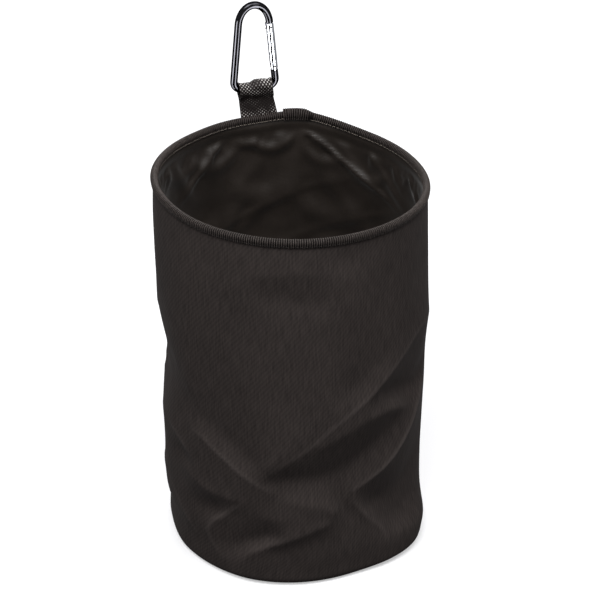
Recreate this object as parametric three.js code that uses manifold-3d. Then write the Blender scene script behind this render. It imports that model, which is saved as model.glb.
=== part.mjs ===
// Peg bag: a lined round cloth bag with a bound rim, hung by a webbing loop and a small sprung snap hook.
// Millimetres, +Z up. The origin is the middle of the base on the floor and the loop is at the back, on +Y.

import * as THREE from "three";
import { mergeVertices } from "three/addons/utils/BufferGeometryUtils.js";
import Module from "manifold-3d";

const wasm = await Module();
wasm.setup();

// Cloth body
const BAG_RADIUS = 89.5; // outer face of the wall
const BAG_HEIGHT = 270; // floor to the top of the bound rim
const WALL_CLOTH = 0.8;
const LINING_CLOTH = 0.5;
const LINING_GAP = 0.5; // the lining hangs loose inside the wall
const CLEARANCE = 0.3; // between pieces that lie against each other
const BASE_EDGE_RADIUS = 6; // soft edge where the wall turns under
const SEAM_ALLOWANCE = 4.5; // cloth turned up inside along the base seam
const BOARD_THICKNESS = 2;
const LINING_CUP = 4; // edge of the base lining, turned up along the lining wall
const LINING_SLOPE = 1.5; // rise over run where the lining steps over the base seam
const WALL_LEVELS = 12;
const TURN_STEPS = 48;

// Bound rim
const HOOP_WIRE = 1.5;
const HOOP_BUTT_GAP = 0.5; // between the two ends of the hoop
const SLEEVE_WALL = 0.3;
const SLEEVE_LENGTH = 12;
const BINDING_TAPE = 0.6;
const BINDING_DEPTH = 5; // from the top of the rim down the outside
const BINDING_INNER_DEPTH = 5.5;
const LAP_LENGTH = 15; // where the ends of the tape lie over each other
const JOIN_TURN = 15; // degrees from the loop round to the lap and the ends of the hoop

// Webbing
const WEBBING_WIDTH = 26;
const WEBBING_THICKNESS = 1.5;
const TAB_LENGTH = 22; // sewn length below the top of the rim
const TAB_STEP = 4; // drop in which the strip comes in from the binding to the wall
const LOOP_REACH = 22; // rim to the middle of the hook's bottom bar
const LOOP_TAPER = 10; // below the bar, where the two plies come together
const LOOP_EYE = 8; // below the bar, where the eye round it closes

// Snap hook
const HOOK_LENGTH = 66;
const HOOK_WIDTH = 34.5;
const HOOK_BAR = 5.2;
const HOOK_CORNER = 5.5; // middle of the bar
const BOW_WIDTH = 21.9; // middle to middle, where the straight legs end
const BOW_RISE = 14.8;
const BAR_STEPS = 64;
const HINGE_POST = 6; // straight bar above the bottom corner
const NOSE_DROP = 0.5; // straight bar below the bow
const TONGUE = 1.8; // thickness of both flat tongues
const TONGUE_WIDTH = 4;
const NOSE_TONGUE = 5.2; // length below the nose
const NOSE_LIP = 0.4; // how far the hooked tongue shows inside the gate

// Gate and its spring
const GATE_DIAMETER = 5.4;
const GATE_GAP = 0.5; // at each end of the gate
const GATE_CHAMFER = 0.4;
const CAM_HEIGHT = 2.2; // hinge pin to the flat end of the tongue
const CAM_ROOM = 0.5; // above the corners of that end
const RIVET_DIAMETER = 1.6;
const LATCH_PIN_DIAMETER = 1.4;
const LATCH_DROP = 3; // nose to the middle of the latch pin
const PLUNGER_DIAMETER = 2.4;
const PLUNGER_LENGTH = 4;
const PIN_DOME = 0.25;
const SPRING_WIRE = 0.4;
const SPRING_LENGTH = 6.7;
const SPRING_TURNS = 7;

// Folds of the standing cloth: a soft ridge or hollow between two places, each a turn in degrees from
// the front and a height. A positive depth is outwards.
const FOLDS = {
  longRidge: { from: [72, 168], to: [24, 150], depth: 4.5, spread: 20 },
  grooveUnderIt: { from: [54, 137], to: [38, 140], depth: -3.5, spread: 15 },
  shelf: { from: [38, 130], to: [4, 128], depth: 1.5, spread: 17 },
  edgeOfFlatWall: { from: [-4, 136], to: [-26, 96], depth: 4, spread: 20 },
  deepHollow: { from: [-12, 84], to: [24, 100], depth: -5, spread: 19 },
  leftStep: { from: [-58, 106], to: [-32, 86], depth: 1, spread: 18 },
  leftFacet: { from: [-64, 74], to: [-44, 74], depth: 3, spread: 16 },
  leftHollow: { from: [-60, 56], to: [-46, 59], depth: -1.5, spread: 14 },
  pillow: { from: [-34, 56], to: [-4, 56], depth: 1, spread: 16 },
  lowRidge: { from: [68, 110], to: [40, 84], depth: 4, spread: 18 },
  lowHollow: { from: [18, 54], to: [48, 54], depth: -4, spread: 18 },
  rightCorner: { from: [54, 26], to: [76, 24], depth: 3.5, spread: 18 },
  leftFoot: { from: [-86, 44], to: [-58, 28], depth: 2, spread: 18 },
  waist: { from: [-104, 141], to: [-84, 139], depth: -4, spread: 22 },
  bulgeUnderIt: { from: [-104, 94], to: [-86, 96], depth: 1, spread: 20 },
  leftFlute: { from: [-66, 145], to: [-62, 210], depth: 2.5, spread: 22 },
};
// Where the lining hangs loose from the wall
const LINING_FOLDS = {
  backSwag: { from: [140, 205], to: [215, 205], depth: -1.5, spread: 34 },
  frontSwag: { from: [-40, 225], to: [60, 225], depth: -0.8, spread: 34 },
};
const FOLD_FOOT = 22; // cloth above the base seam that the folds run out in
const FOLD_MARGIN = 34; // straight cloth under the rim
const BACK_TURN = 190; // folds like those of the front, turned round to the back
const BACK_RISE = 8; // how much higher they are there
const BACK_SHARE = 0.75; // and how much of their depth they have
const BACK_LIMIT = -66; // turn past which a fold is not copied
const LEAN = 3.2; // of the low wall over the base
const LEAN_TURN = 75.5;
const LEAN_HEIGHT = 240;

// Sizes that follow from the ones above
const wallInner = BAG_RADIUS - WALL_CLOTH;
const liningOuter = wallInner - LINING_GAP;
const liningInner = liningOuter - LINING_CLOTH;
const rimMiddle = (BAG_RADIUS + liningInner) / 2;
const sandwich = (BAG_RADIUS - liningInner) / 2;
const sleeveBore = HOOP_WIRE / 2 + CLEARANCE;
const sleeveRadius = sleeveBore + SLEEVE_WALL;
const rimBore = sleeveRadius + CLEARANCE;
const rimRoll = rimBore + BINDING_TAPE;
const hoopHeight = BAG_HEIGHT - rimRoll;
const clothTop = hoopHeight - rimBore;
const seamRadius = BAG_RADIUS - BASE_EDGE_RADIUS;
const panelRadius = seamRadius - CLEARANCE;
const boardRadius = panelRadius - WALL_CLOTH - CLEARANCE;
const boardFoot = WALL_CLOTH + CLEARANCE;
const floorHeight = boardFoot + BOARD_THICKNESS + CLEARANCE;
const liningStep = Math.max(SEAM_ALLOWANCE, floorHeight) + CLEARANCE;
const wallFoot = Math.max(liningStep + (liningOuter - boardRadius) * LINING_SLOPE, BASE_EDGE_RADIUS);
const joinTurn = THREE.MathUtils.degToRad(JOIN_TURN);

const tabInner = rimMiddle + rimRoll + CLEARANCE;
const loopY = tabInner + WEBBING_THICKNESS;
const foldHeight = BAG_HEIGHT + CLEARANCE + WEBBING_THICKNESS;
const barHeight = BAG_HEIGHT + LOOP_REACH;
const loopDrop = barHeight - foldHeight;

const barRadius = HOOK_BAR / 2;
const cornerX = HOOK_WIDTH / 2 - barRadius - HOOK_CORNER;
const bowHeight = HOOK_LENGTH - HOOK_BAR - BOW_RISE;
const neckHalf = HOOK_WIDTH / 2 - HOOK_BAR - CLEARANCE;
const gateRadius = GATE_DIAMETER / 2;
const slotWidth = TONGUE + 2 * CLEARANCE;
const springBore = PLUNGER_DIAMETER / 2 + CLEARANCE;
const forkDepth = Math.hypot(CAM_HEIGHT, TONGUE_WIDTH / 2) + CAM_ROOM;
const plungerFoot = CAM_HEIGHT + CLEARANCE;
const springFoot = plungerFoot + PLUNGER_LENGTH + CLEARANCE;
const springTop = springFoot + SPRING_LENGTH + SPRING_WIRE;

const bag = new THREE.Group();

const at = (radius, height) => new THREE.Vector2(radius, height);

// Points of an arc, angles in degrees
function arc(x, y, radius, from, to, steps) {
  const points = [];
  for (let i = 0; i <= steps; i += 1) {
    const angle = THREE.MathUtils.degToRad(from + ((to - from) * i) / steps);
    points.push(at(x + radius * Math.cos(angle), y + radius * Math.sin(angle)));
  }
  return points;
}

// Shared vertices merged and slivers at the axis dropped, so that the surface is one closed skin
function weld(geometry) {
  geometry.deleteAttribute("normal");
  geometry.deleteAttribute("uv");
  const merged = mergeVertices(geometry, 1e-4);
  const corners = merged.getIndex().array;
  const kept = [];
  for (let i = 0; i < corners.length; i += 3) {
    const [a, b, c] = corners.slice(i, i + 3);
    if (a !== b && b !== c && c !== a) {
      kept.push(a, b, c);
    }
  }
  merged.setIndex(kept);
  return merged;
}

function solid(geometry) {
  const skin = weld(geometry);
  const vertProperties = new Float32Array(skin.getAttribute("position").array);
  const triVerts = new Uint32Array(skin.getIndex().array);
  return new wasm.Manifold(new wasm.Mesh({ numProp: 3, vertProperties, triVerts }));
}

function surface(body) {
  const mesh = body.getMesh();
  const geometry = new THREE.BufferGeometry();
  geometry.setAttribute("position", new THREE.BufferAttribute(mesh.vertProperties, 3));
  geometry.setIndex(new THREE.BufferAttribute(mesh.triVerts, 1));
  return geometry;
}

function piece(name, geometry, color, roughness, metalness = 0) {
  geometry.computeVertexNormals();
  const mesh = new THREE.Mesh(geometry, new THREE.MeshStandardMaterial({ color, roughness, metalness }));
  mesh.name = name;
  return mesh;
}

const cloth = (name, geometry) => piece(name, geometry, 0x2e2b2a, 0.85);
const lining = (name, geometry) => piece(name, geometry, 0x24211f, 0.55);
const webbing = (name, geometry) => piece(name, geometry, 0x262324, 0.8);
const steel = (name, geometry) => piece(name, geometry, 0xb9bbbe, 0.3, 1);

// Share of a fold's depth at a place of the unrolled cloth
function foldShare(fold, turn, height) {
  const round = THREE.MathUtils.degToRad(BAG_RADIUS);
  const wrapped = THREE.MathUtils.euclideanModulo(turn - fold.from[0] + 180, 360) - 180;
  const here = at(wrapped * round, height - fold.from[1]);
  const run = at((fold.to[0] - fold.from[0]) * round, fold.to[1] - fold.from[1]);
  const share = THREE.MathUtils.clamp(here.dot(run) / run.lengthSq(), 0, 1);
  const reach = here.addScaledVector(run, -share).length() / fold.spread;
  return Math.exp(-reach * reach);
}

// How far the wall and the lining stand out of round at a point of the cloth
function foldDepth(x, y, height, inner) {
  const turn = THREE.MathUtils.radToDeg(Math.atan2(x, -y));
  const low = THREE.MathUtils.smoothstep(height, wallFoot, wallFoot + FOLD_FOOT);
  const high = THREE.MathUtils.smoothstep(BAG_HEIGHT - height, BAG_HEIGHT - clothTop, FOLD_MARGIN);
  const lean = LEAN * Math.cos(THREE.MathUtils.degToRad(turn - LEAN_TURN));
  let depth = lean * (1 - THREE.MathUtils.smoothstep(height, 0, LEAN_HEIGHT));
  for (const fold of Object.values(FOLDS)) {
    depth += fold.depth * foldShare(fold, turn, height);
    if (fold.from[0] > BACK_LIMIT) {
      depth += BACK_SHARE * fold.depth * foldShare(fold, BACK_TURN - turn, height - BACK_RISE);
    }
  }
  for (const fold of inner) {
    depth += fold.depth * foldShare(fold, turn, height);
  }
  return depth * low * high;
}

function drape(geometry, inner = []) {
  const position = geometry.getAttribute("position");
  for (let i = 0; i < position.count; i += 1) {
    const x = position.getX(i);
    const y = position.getY(i);
    const radius = Math.hypot(x, y);
    const scale = radius > 0 ? 1 + foldDepth(x, y, position.getZ(i), inner) / radius : 1;
    position.setXY(i, x * scale, y * scale);
  }
  return geometry;
}

// A profile of radius and height turned about the bag's axis. It runs up the outer side and down the inner.
function turned(profile) {
  const geometry = new THREE.LatheGeometry(profile, TURN_STEPS);
  geometry.rotateX(Math.PI / 2);
  return weld(geometry);
}

const closed = (profile) => turned([...profile, profile[0]]);

// A closed profile turned in rings, with both sides of the cloth split along the same diagonals
function clothRing(profile) {
  const count = profile.length;
  const positions = [];
  const corners = [];
  for (let step = 0; step < TURN_STEPS; step += 1) {
    const turn = (2 * Math.PI * step) / TURN_STEPS;
    const next = (step + 1) % TURN_STEPS;
    profile.forEach((point, level) => {
      positions.push(point.x * Math.sin(turn), -point.x * Math.cos(turn), point.y);
      const ahead = (level + 1) % count;
      const [a, b] = [step * count + level, next * count + level];
      const [c, d] = [next * count + ahead, step * count + ahead];
      const falls = profile[ahead].y < point.y;
      corners.push(...(falls ? [a, b, d, b, c, d] : [a, b, c, a, c, d]));
    });
  }
  const geometry = new THREE.BufferGeometry();
  geometry.setAttribute("position", new THREE.Float32BufferAttribute(positions, 3));
  geometry.setIndex(corners);
  return geometry;
}

// A cylinder along local Y, for pins and their holes
function crossBar(radius, length, height) {
  const geometry = new THREE.CylinderGeometry(radius, radius, length, 14);
  geometry.translate(0, 0, height);
  return geometry;
}

function block(width, depth, low, high) {
  const geometry = new THREE.BoxGeometry(width, depth, high - low);
  geometry.translate(0, 0, (low + high) / 2);
  return geometry;
}

// Shape drawn in X and Z, with its thickness centred on Y
function plate(shape, thickness) {
  const geometry = new THREE.ExtrudeGeometry(shape, { depth: thickness, bevelEnabled: false, curveSegments: 8 });
  geometry.translate(0, 0, -thickness / 2);
  geometry.rotateX(Math.PI / 2);
  return geometry;
}

// Cloth wall: a tube whose foot turns under to the base seam and then up inside
const wallHeights = [];
for (let i = 0; i <= WALL_LEVELS; i += 1) {
  wallHeights.push(THREE.MathUtils.lerp(wallFoot, clothTop, i / WALL_LEVELS));
}

function outerWall() {
  const innerCurl = BASE_EDGE_RADIUS - WALL_CLOTH;
  const curlEnd = THREE.MathUtils.radToDeg(Math.acos(WALL_CLOTH / innerCurl));
  const profile = [
    ...arc(seamRadius, BASE_EDGE_RADIUS, BASE_EDGE_RADIUS, -90, 0, 4),
    ...wallHeights.map((height) => at(BAG_RADIUS, height)),
    ...wallHeights.toReversed().map((height) => at(wallInner, height)),
    ...arc(seamRadius, BASE_EDGE_RADIUS, innerCurl, 0, -curlEnd, 3),
    at(seamRadius + WALL_CLOTH, SEAM_ALLOWANCE),
    at(seamRadius, SEAM_ALLOWANCE),
  ];
  return drape(clothRing(profile));
}

// Lining wall: steps in over the base seam and stands on the board
function liningWall() {
  const foot = [at(boardRadius, floorHeight), at(boardRadius, liningStep)];
  const outside = [...foot, ...wallHeights.map((height) => at(liningOuter, height))];
  const inside = outside.map((point) => at(point.x - LINING_CLOTH, point.y));
  return drape(clothRing([...outside, ...inside.toReversed()]), Object.values(LINING_FOLDS));
}

function basePanel() {
  return turned([
    at(0, 0),
    at(panelRadius, 0),
    at(panelRadius, SEAM_ALLOWANCE),
    at(panelRadius - WALL_CLOTH, SEAM_ALLOWANCE),
    at(panelRadius - WALL_CLOTH, WALL_CLOTH),
    at(0, WALL_CLOTH),
  ]);
}

function baseBoard() {
  const top = boardFoot + BOARD_THICKNESS;
  return turned([at(0, boardFoot), at(boardRadius, boardFoot), at(boardRadius, top), at(0, top)]);
}

function baseLining() {
  const radius = boardRadius - LINING_CLOTH - CLEARANCE;
  const hem = radius - LINING_CLOTH;
  const top = floorHeight + LINING_CLOTH;
  const hemTop = floorHeight + LINING_CUP;
  return turned([
    at(0, floorHeight),
    at(radius, floorHeight),
    at(radius, hemTop),
    at(hem, hemTop),
    at(hem, top),
    at(0, top),
  ]);
}

// Tape folded over the hoop and the cloth edges: from inside to outside of one layer of tape
function tapeProfile(bore, flap, tape) {
  const low = BAG_HEIGHT - BINDING_DEPTH;
  const lowInner = BAG_HEIGHT - BINDING_INNER_DEPTH;
  const neck = clothTop - CLEARANCE;
  return [
    at(rimMiddle + flap + tape, low),
    at(rimMiddle + flap + tape, neck),
    ...arc(rimMiddle, hoopHeight, bore + tape, 0, 180, 6),
    at(rimMiddle - flap - tape, neck),
    at(rimMiddle - flap - tape, lowInner),
    at(rimMiddle - flap, lowInner),
    at(rimMiddle - flap, neck),
    ...arc(rimMiddle, hoopHeight, bore, 180, 0, 6),
    at(rimMiddle + flap, neck),
    at(rimMiddle + flap, low),
  ];
}

function rimBinding() {
  const flap = sandwich + CLEARANCE;
  const ring = solid(closed(tapeProfile(rimBore, flap, BINDING_TAPE)));
  const half = BINDING_TAPE / 2;
  const over = solid(closed(tapeProfile(rimBore + half, flap + half, BINDING_TAPE + half)));
  const cut = block(LAP_LENGTH, BAG_RADIUS, 0, 2 * BAG_HEIGHT);
  cut.translate(0, BAG_RADIUS, 0);
  cut.rotateZ(-joinTurn);
  return surface(ring.add(over.intersect(solid(cut))));
}

// Circle round the bag at the height of the hoop, from one turn to another, clockwise from the loop
class HoopArc extends THREE.Curve {
  constructor(from, to) {
    super();
    this.from = from;
    this.to = to;
  }

  getPoint(t, target = new THREE.Vector3()) {
    const turn = THREE.MathUtils.lerp(this.from, this.to, t);
    return target.set(rimMiddle * Math.sin(turn), rimMiddle * Math.cos(turn), hoopHeight);
  }
}

function disc(radius, sides) {
  const shape = new THREE.Shape();
  shape.setFromPoints(arc(0, 0, radius, 0, 360 - 360 / sides, sides - 1));
  return shape;
}

function rimHoop() {
  const half = HOOP_BUTT_GAP / 2 / rimMiddle;
  const extrudePath = new HoopArc(joinTurn + half, joinTurn + 2 * Math.PI - half);
  return weld(new THREE.ExtrudeGeometry(disc(HOOP_WIRE / 2, 6), { steps: 72, extrudePath }));
}

function hoopSleeve() {
  const half = SLEEVE_LENGTH / 2 / rimMiddle;
  const extrudePath = new HoopArc(joinTurn - half, joinTurn + half);
  const tube = disc(sleeveRadius, 8);
  tube.holes.push(disc(sleeveBore, 8));
  return weld(new THREE.ExtrudeGeometry(tube, { steps: 4, extrudePath }));
}

// Sewn end of the webbing: both plies, over the binding and down the wall
function loopTab() {
  const plies = 2 * WEBBING_THICKNESS;
  const wallSide = BAG_RADIUS + CLEARANCE;
  const stepTop = BAG_HEIGHT - BINDING_DEPTH - CLEARANCE;
  const stepFoot = stepTop - TAB_STEP;
  const foot = BAG_HEIGHT - TAB_LENGTH;
  const inside = [at(tabInner, BAG_HEIGHT), at(tabInner, stepTop), at(wallSide, stepFoot), at(wallSide, foot)];
  const outside = inside.toReversed().map((point) => at(point.x + plies, point.y));
  const strip = block(WEBBING_WIDTH, BAG_RADIUS, 0, 2 * BAG_HEIGHT);
  strip.translate(0, BAG_RADIUS, 0);
  return surface(solid(closed([...outside, ...inside])).intersect(solid(strip)));
}

// Upper surface of the hook's bottom bar above its middle, at a distance from the hook's own middle
function barTop(x) {
  const past = Math.max(Math.abs(x) - cornerX, 0);
  return HOOK_CORNER - Math.sqrt((HOOK_CORNER - barRadius) ** 2 - past ** 2);
}

// Free loop of the webbing: two plies that part into an eye round the bar and flare at the bar's corners
function hangingLoop() {
  const eye = barRadius + CLEARANCE;
  const back = eye + WEBBING_THICKNESS;
  const ply = WEBBING_THICKNESS;
  const shape = new THREE.Shape();
  shape.moveTo(-ply, -loopDrop);
  shape.absarc(0, -loopDrop, ply, Math.PI, 2 * Math.PI, false);
  shape.lineTo(ply, -LOOP_TAPER);
  shape.bezierCurveTo(ply, -LOOP_TAPER / 2, back, -LOOP_TAPER / 2, back, 0);
  shape.absarc(0, 0, back, 0, Math.PI, false);
  shape.bezierCurveTo(-back, -LOOP_TAPER / 2, -ply, -LOOP_TAPER / 2, -ply, -LOOP_TAPER);
  const hole = new THREE.Path();
  hole.moveTo(0, -LOOP_EYE);
  hole.bezierCurveTo(0, -LOOP_EYE / 2, eye, -LOOP_EYE / 2, eye, 0);
  hole.absarc(0, 0, eye, 0, Math.PI, false);
  hole.bezierCurveTo(-eye, -LOOP_EYE / 2, 0, -LOOP_EYE / 2, 0, -LOOP_EYE);
  shape.holes.push(hole);
  const options = { depth: 2, steps: 10, bevelEnabled: false, curveSegments: 5 };
  const geometry = new THREE.ExtrudeGeometry(shape, options);
  const position = geometry.getAttribute("position");
  for (let i = 0; i < position.count; i += 1) {
    const depth = position.getX(i);
    const height = position.getY(i);
    const across = Math.sin(((position.getZ(i) - 1) * Math.PI) / 2);
    const drop = THREE.MathUtils.clamp(-height / loopDrop, 0, 1);
    const x = across * THREE.MathUtils.lerp(neckHalf, WEBBING_WIDTH / 2, drop);
    const flare = barTop(across * neckHalf) - barRadius;
    const fade = THREE.MathUtils.smoothstep(height, -LOOP_EYE, -eye);
    const radius = Math.hypot(depth, height);
    const scale = 1 + (flare * fade) / radius;
    position.setXYZ(i, x, depth * scale, height * scale);
  }
  geometry.translate(0, loopY, barHeight);
  return weld(geometry);
}

// Lean of the hook's legs: tangent to the bottom corner and to the elliptical bow
let lean = 0;
let legFoot = at(0, 0);
let legTop = at(0, 0);
for (let i = 0; i < 20; i += 1) {
  const bowStart = Math.atan((Math.tan(lean) * BOW_RISE * 2) / BOW_WIDTH);
  legFoot = at(cornerX + HOOK_CORNER * Math.cos(lean), HOOK_CORNER * (1 + Math.sin(lean)));
  legTop = at((BOW_WIDTH / 2) * Math.cos(bowStart), bowHeight + BOW_RISE * Math.sin(bowStart));
  lean = Math.atan((legFoot.x - legTop.x) / (legTop.y - legFoot.y));
}
const legUp = at(-Math.sin(lean), Math.cos(lean));
const nose = legTop.clone().addScaledVector(legUp, -NOSE_DROP);
const hingeShoulder = legFoot.clone().addScaledVector(legUp, HINGE_POST);
const hinge = hingeShoulder.clone().addScaledVector(legUp, GATE_GAP + gateRadius);
const reach = nose.distanceTo(hinge);
const latchHeight = reach - LATCH_DROP;

// Middle line of the bent bar, from the nose over the bow and round to the hinge
class HookBar extends THREE.Curve {
  constructor() {
    super();
    const bowStart = Math.asin((legTop.y - bowHeight) / BOW_RISE);
    this.path = new THREE.Path();
    this.path.moveTo(nose.x, nose.y);
    this.path.lineTo(legTop.x, legTop.y);
    this.path.absellipse(0, bowHeight, BOW_WIDTH / 2, BOW_RISE, bowStart, Math.PI - bowStart, false, 0);
    this.path.lineTo(-legFoot.x, legFoot.y);
    this.path.absarc(-cornerX, HOOK_CORNER, HOOK_CORNER, Math.PI - lean, 1.5 * Math.PI, false);
    this.path.lineTo(cornerX, 0);
    this.path.absarc(cornerX, HOOK_CORNER, HOOK_CORNER, -0.5 * Math.PI, lean, false);
    this.path.lineTo(hingeShoulder.x, hingeShoulder.y);
  }

  getPoint(t, target = new THREE.Vector3()) {
    const point = this.path.getPoint(t);
    return target.set(point.x, 0, point.y);
  }
}

// The gate's own axes: origin at the hinge pin, Z up the gate, X out of the hook
const gateAxes = new THREE.Group();
gateAxes.position.set(hinge.x, 0, hinge.y);
gateAxes.rotation.y = -lean;
gateAxes.updateMatrix();

function hingeTongue() {
  const half = TONGUE_WIDTH / 2;
  const foot = -gateRadius - GATE_GAP - 1;
  const shape = new THREE.Shape([at(-half, foot), at(half, foot), at(half, CAM_HEIGHT), at(-half, CAM_HEIGHT)]);
  const tongue = solid(plate(shape, TONGUE));
  return tongue.subtract(solid(crossBar(RIVET_DIAMETER / 2 + CLEARANCE / 2, HOOK_BAR, 0)));
}

// Hooked tongue of the nose: the latch pin slides into its notch from inside the hook
function noseTongue() {
  const half = TONGUE_WIDTH / 2;
  const lip = -gateRadius - NOSE_LIP;
  const tip = reach - NOSE_TONGUE;
  const notch = LATCH_PIN_DIAMETER / 2 + CLEARANCE;
  const shape = new THREE.Shape();
  shape.moveTo(half, reach + 1);
  shape.lineTo(-half, reach + 1);
  shape.lineTo(lip, reach - 0.5);
  shape.lineTo(lip, latchHeight + notch);
  shape.lineTo(0, latchHeight + notch);
  shape.absarc(0, latchHeight, notch, Math.PI / 2, -Math.PI / 2, true);
  shape.lineTo(lip, latchHeight - notch);
  shape.lineTo(lip, tip + 0.6);
  shape.lineTo(lip + 0.6, tip);
  shape.lineTo(half - 0.8, tip);
  shape.lineTo(half, tip + 0.8);
  return solid(plate(shape, TONGUE));
}

function hookBody() {
  const options = { steps: BAR_STEPS, extrudePath: new HookBar() };
  const bar = solid(new THREE.ExtrudeGeometry(disc(barRadius, 12), options));
  const tongues = surface(hingeTongue().add(noseTongue()));
  tongues.applyMatrix4(gateAxes.matrix);
  return surface(bar.add(solid(tongues)));
}

// Outline that rounds the gate's lower end about the hinge pin
function gateEnd(top) {
  const wide = gateRadius + 1;
  const shape = new THREE.Shape();
  shape.moveTo(wide, 0);
  shape.lineTo(wide, top + 1);
  shape.lineTo(-wide, top + 1);
  shape.lineTo(-wide, 0);
  shape.lineTo(-gateRadius, 0);
  shape.absarc(0, 0, gateRadius, Math.PI, 2 * Math.PI, false);
  return solid(plate(shape, 2 * GATE_DIAMETER));
}

// Gate: a rod forked at both ends, drilled from below for the plunger and its spring
function hookGate() {
  const top = reach - GATE_GAP;
  const foot = -gateRadius;
  const rodProfile = [
    at(0, foot),
    at(gateRadius, foot),
    at(gateRadius, top - GATE_CHAMFER),
    at(gateRadius - GATE_CHAMFER, top),
    at(0, top),
  ];
  const rod = new THREE.LatheGeometry(rodProfile, 18);
  rod.rotateX(Math.PI / 2);
  const bore = new THREE.CylinderGeometry(springBore, springBore, springTop + CLEARANCE - foot + 1, 12);
  bore.rotateX(Math.PI / 2);
  bore.translate(0, 0, (springTop + CLEARANCE + foot - 1) / 2);
  const latchFork = reach - NOSE_TONGUE - 1;
  return surface(
    solid(rod)
      .intersect(gateEnd(top))
      .subtract(solid(block(2 * GATE_DIAMETER, slotWidth, foot - 1, forkDepth)))
      .subtract(solid(block(2 * GATE_DIAMETER, slotWidth, latchFork, top + 1)))
      .subtract(solid(bore))
      .subtract(solid(crossBar(RIVET_DIAMETER / 2 + CLEARANCE / 2, 2 * GATE_DIAMETER, 0)))
      .subtract(solid(crossBar(LATCH_PIN_DIAMETER / 2 + CLEARANCE / 2, 2 * GATE_DIAMETER, latchHeight))),
  );
}

// Pin along local Y with a low dome on each end
function domedPin(radius, height) {
  const end = gateRadius;
  const profile = [
    at(0, -end - PIN_DOME),
    at(radius * 0.7, -end - PIN_DOME / 2),
    at(radius, -end),
    at(radius, end),
    at(radius * 0.7, end + PIN_DOME / 2),
    at(0, end + PIN_DOME),
  ];
  const geometry = new THREE.LatheGeometry(profile, 14);
  geometry.translate(0, 0, height);
  return weld(geometry);
}

function gatePlunger() {
  const radius = PLUNGER_DIAMETER / 2;
  const top = plungerFoot + PLUNGER_LENGTH;
  const geometry = new THREE.LatheGeometry(
    [at(0, plungerFoot), at(radius * 0.75, plungerFoot), at(radius, plungerFoot + 0.4), at(radius, top), at(0, top)],
    12,
  );
  geometry.rotateX(Math.PI / 2);
  return weld(geometry);
}

class SpringCoil extends THREE.Curve {
  getPoint(t, target = new THREE.Vector3()) {
    const turn = 2 * Math.PI * SPRING_TURNS * t;
    const radius = (PLUNGER_DIAMETER - SPRING_WIRE) / 2;
    const height = springFoot + SPRING_WIRE / 2 + SPRING_LENGTH * t;
    return target.set(radius * Math.cos(turn), radius * Math.sin(turn), height);
  }
}

function gateSpring() {
  const options = { steps: 8 * SPRING_TURNS, extrudePath: new SpringCoil() };
  return weld(new THREE.ExtrudeGeometry(disc(SPRING_WIRE / 2, 5), options));
}

bag.add(
  cloth("outer_wall", outerWall()),
  lining("lining_wall", liningWall()),
  cloth("base_panel", basePanel()),
  piece("base_board", baseBoard(), 0x6b5d4c, 0.9),
  lining("base_lining", baseLining()),
  webbing("rim_binding", rimBinding()),
  steel("rim_hoop", rimHoop()),
  steel("hoop_sleeve", hoopSleeve()),
  webbing("loop_tab", loopTab()),
  webbing("hanging_loop", hangingLoop()),
);

const hook = new THREE.Group();
hook.position.set(0, loopY, barHeight);
gateAxes.add(
  piece("hook_gate", hookGate(), 0xc8cacc, 0.35, 1),
  steel("hinge_rivet", domedPin(RIVET_DIAMETER / 2, 0)),
  steel("latch_pin", domedPin(LATCH_PIN_DIAMETER / 2, latchHeight)),
  steel("gate_plunger", gatePlunger()),
  steel("gate_spring", gateSpring()),
);
hook.add(piece("hook_body", hookBody(), 0x0d0d0e, 0.25, 0.9), gateAxes);
bag.add(hook);

export default bag;
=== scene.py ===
# %% [markdown]
# A peg bag is a round cloth pail: a black woven wall, a thinner shiny lining, a wire hoop bound
# into the rim, and a webbing loop with a snap hook at the back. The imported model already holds
# the sizes and the joints, so this lesson only dresses it. It is loaded first, and its box is
# kept, because the dressed bag must not outgrow it.

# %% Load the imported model
import bmesh
import bpy
import math
import numpy as np
from mathutils import Matrix, Vector


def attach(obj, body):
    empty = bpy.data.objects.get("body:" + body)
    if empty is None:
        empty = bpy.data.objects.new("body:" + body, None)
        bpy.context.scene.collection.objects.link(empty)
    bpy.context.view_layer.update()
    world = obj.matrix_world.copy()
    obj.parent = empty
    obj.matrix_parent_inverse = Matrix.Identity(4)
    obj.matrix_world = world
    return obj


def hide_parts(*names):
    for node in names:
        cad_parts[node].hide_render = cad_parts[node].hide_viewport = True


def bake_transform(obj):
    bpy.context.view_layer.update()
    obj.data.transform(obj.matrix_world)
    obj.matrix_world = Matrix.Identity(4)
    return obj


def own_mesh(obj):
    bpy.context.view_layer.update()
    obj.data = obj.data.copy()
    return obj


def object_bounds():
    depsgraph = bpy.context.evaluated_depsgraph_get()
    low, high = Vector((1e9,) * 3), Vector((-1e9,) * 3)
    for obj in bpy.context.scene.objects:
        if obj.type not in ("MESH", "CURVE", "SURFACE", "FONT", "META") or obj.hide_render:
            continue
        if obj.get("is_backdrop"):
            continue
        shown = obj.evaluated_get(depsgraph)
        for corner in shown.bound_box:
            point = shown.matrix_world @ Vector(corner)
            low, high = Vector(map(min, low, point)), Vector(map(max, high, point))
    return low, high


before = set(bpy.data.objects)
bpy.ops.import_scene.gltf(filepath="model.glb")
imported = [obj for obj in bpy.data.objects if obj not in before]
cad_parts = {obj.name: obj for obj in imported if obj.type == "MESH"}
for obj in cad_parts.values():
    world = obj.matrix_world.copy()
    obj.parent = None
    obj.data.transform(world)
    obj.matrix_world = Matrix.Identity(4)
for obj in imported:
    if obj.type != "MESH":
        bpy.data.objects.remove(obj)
cad_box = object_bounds()
print("packed nodes:", len(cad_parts), "box:", [[round(v, 4) for v in corner] for corner in cad_box])

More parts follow.
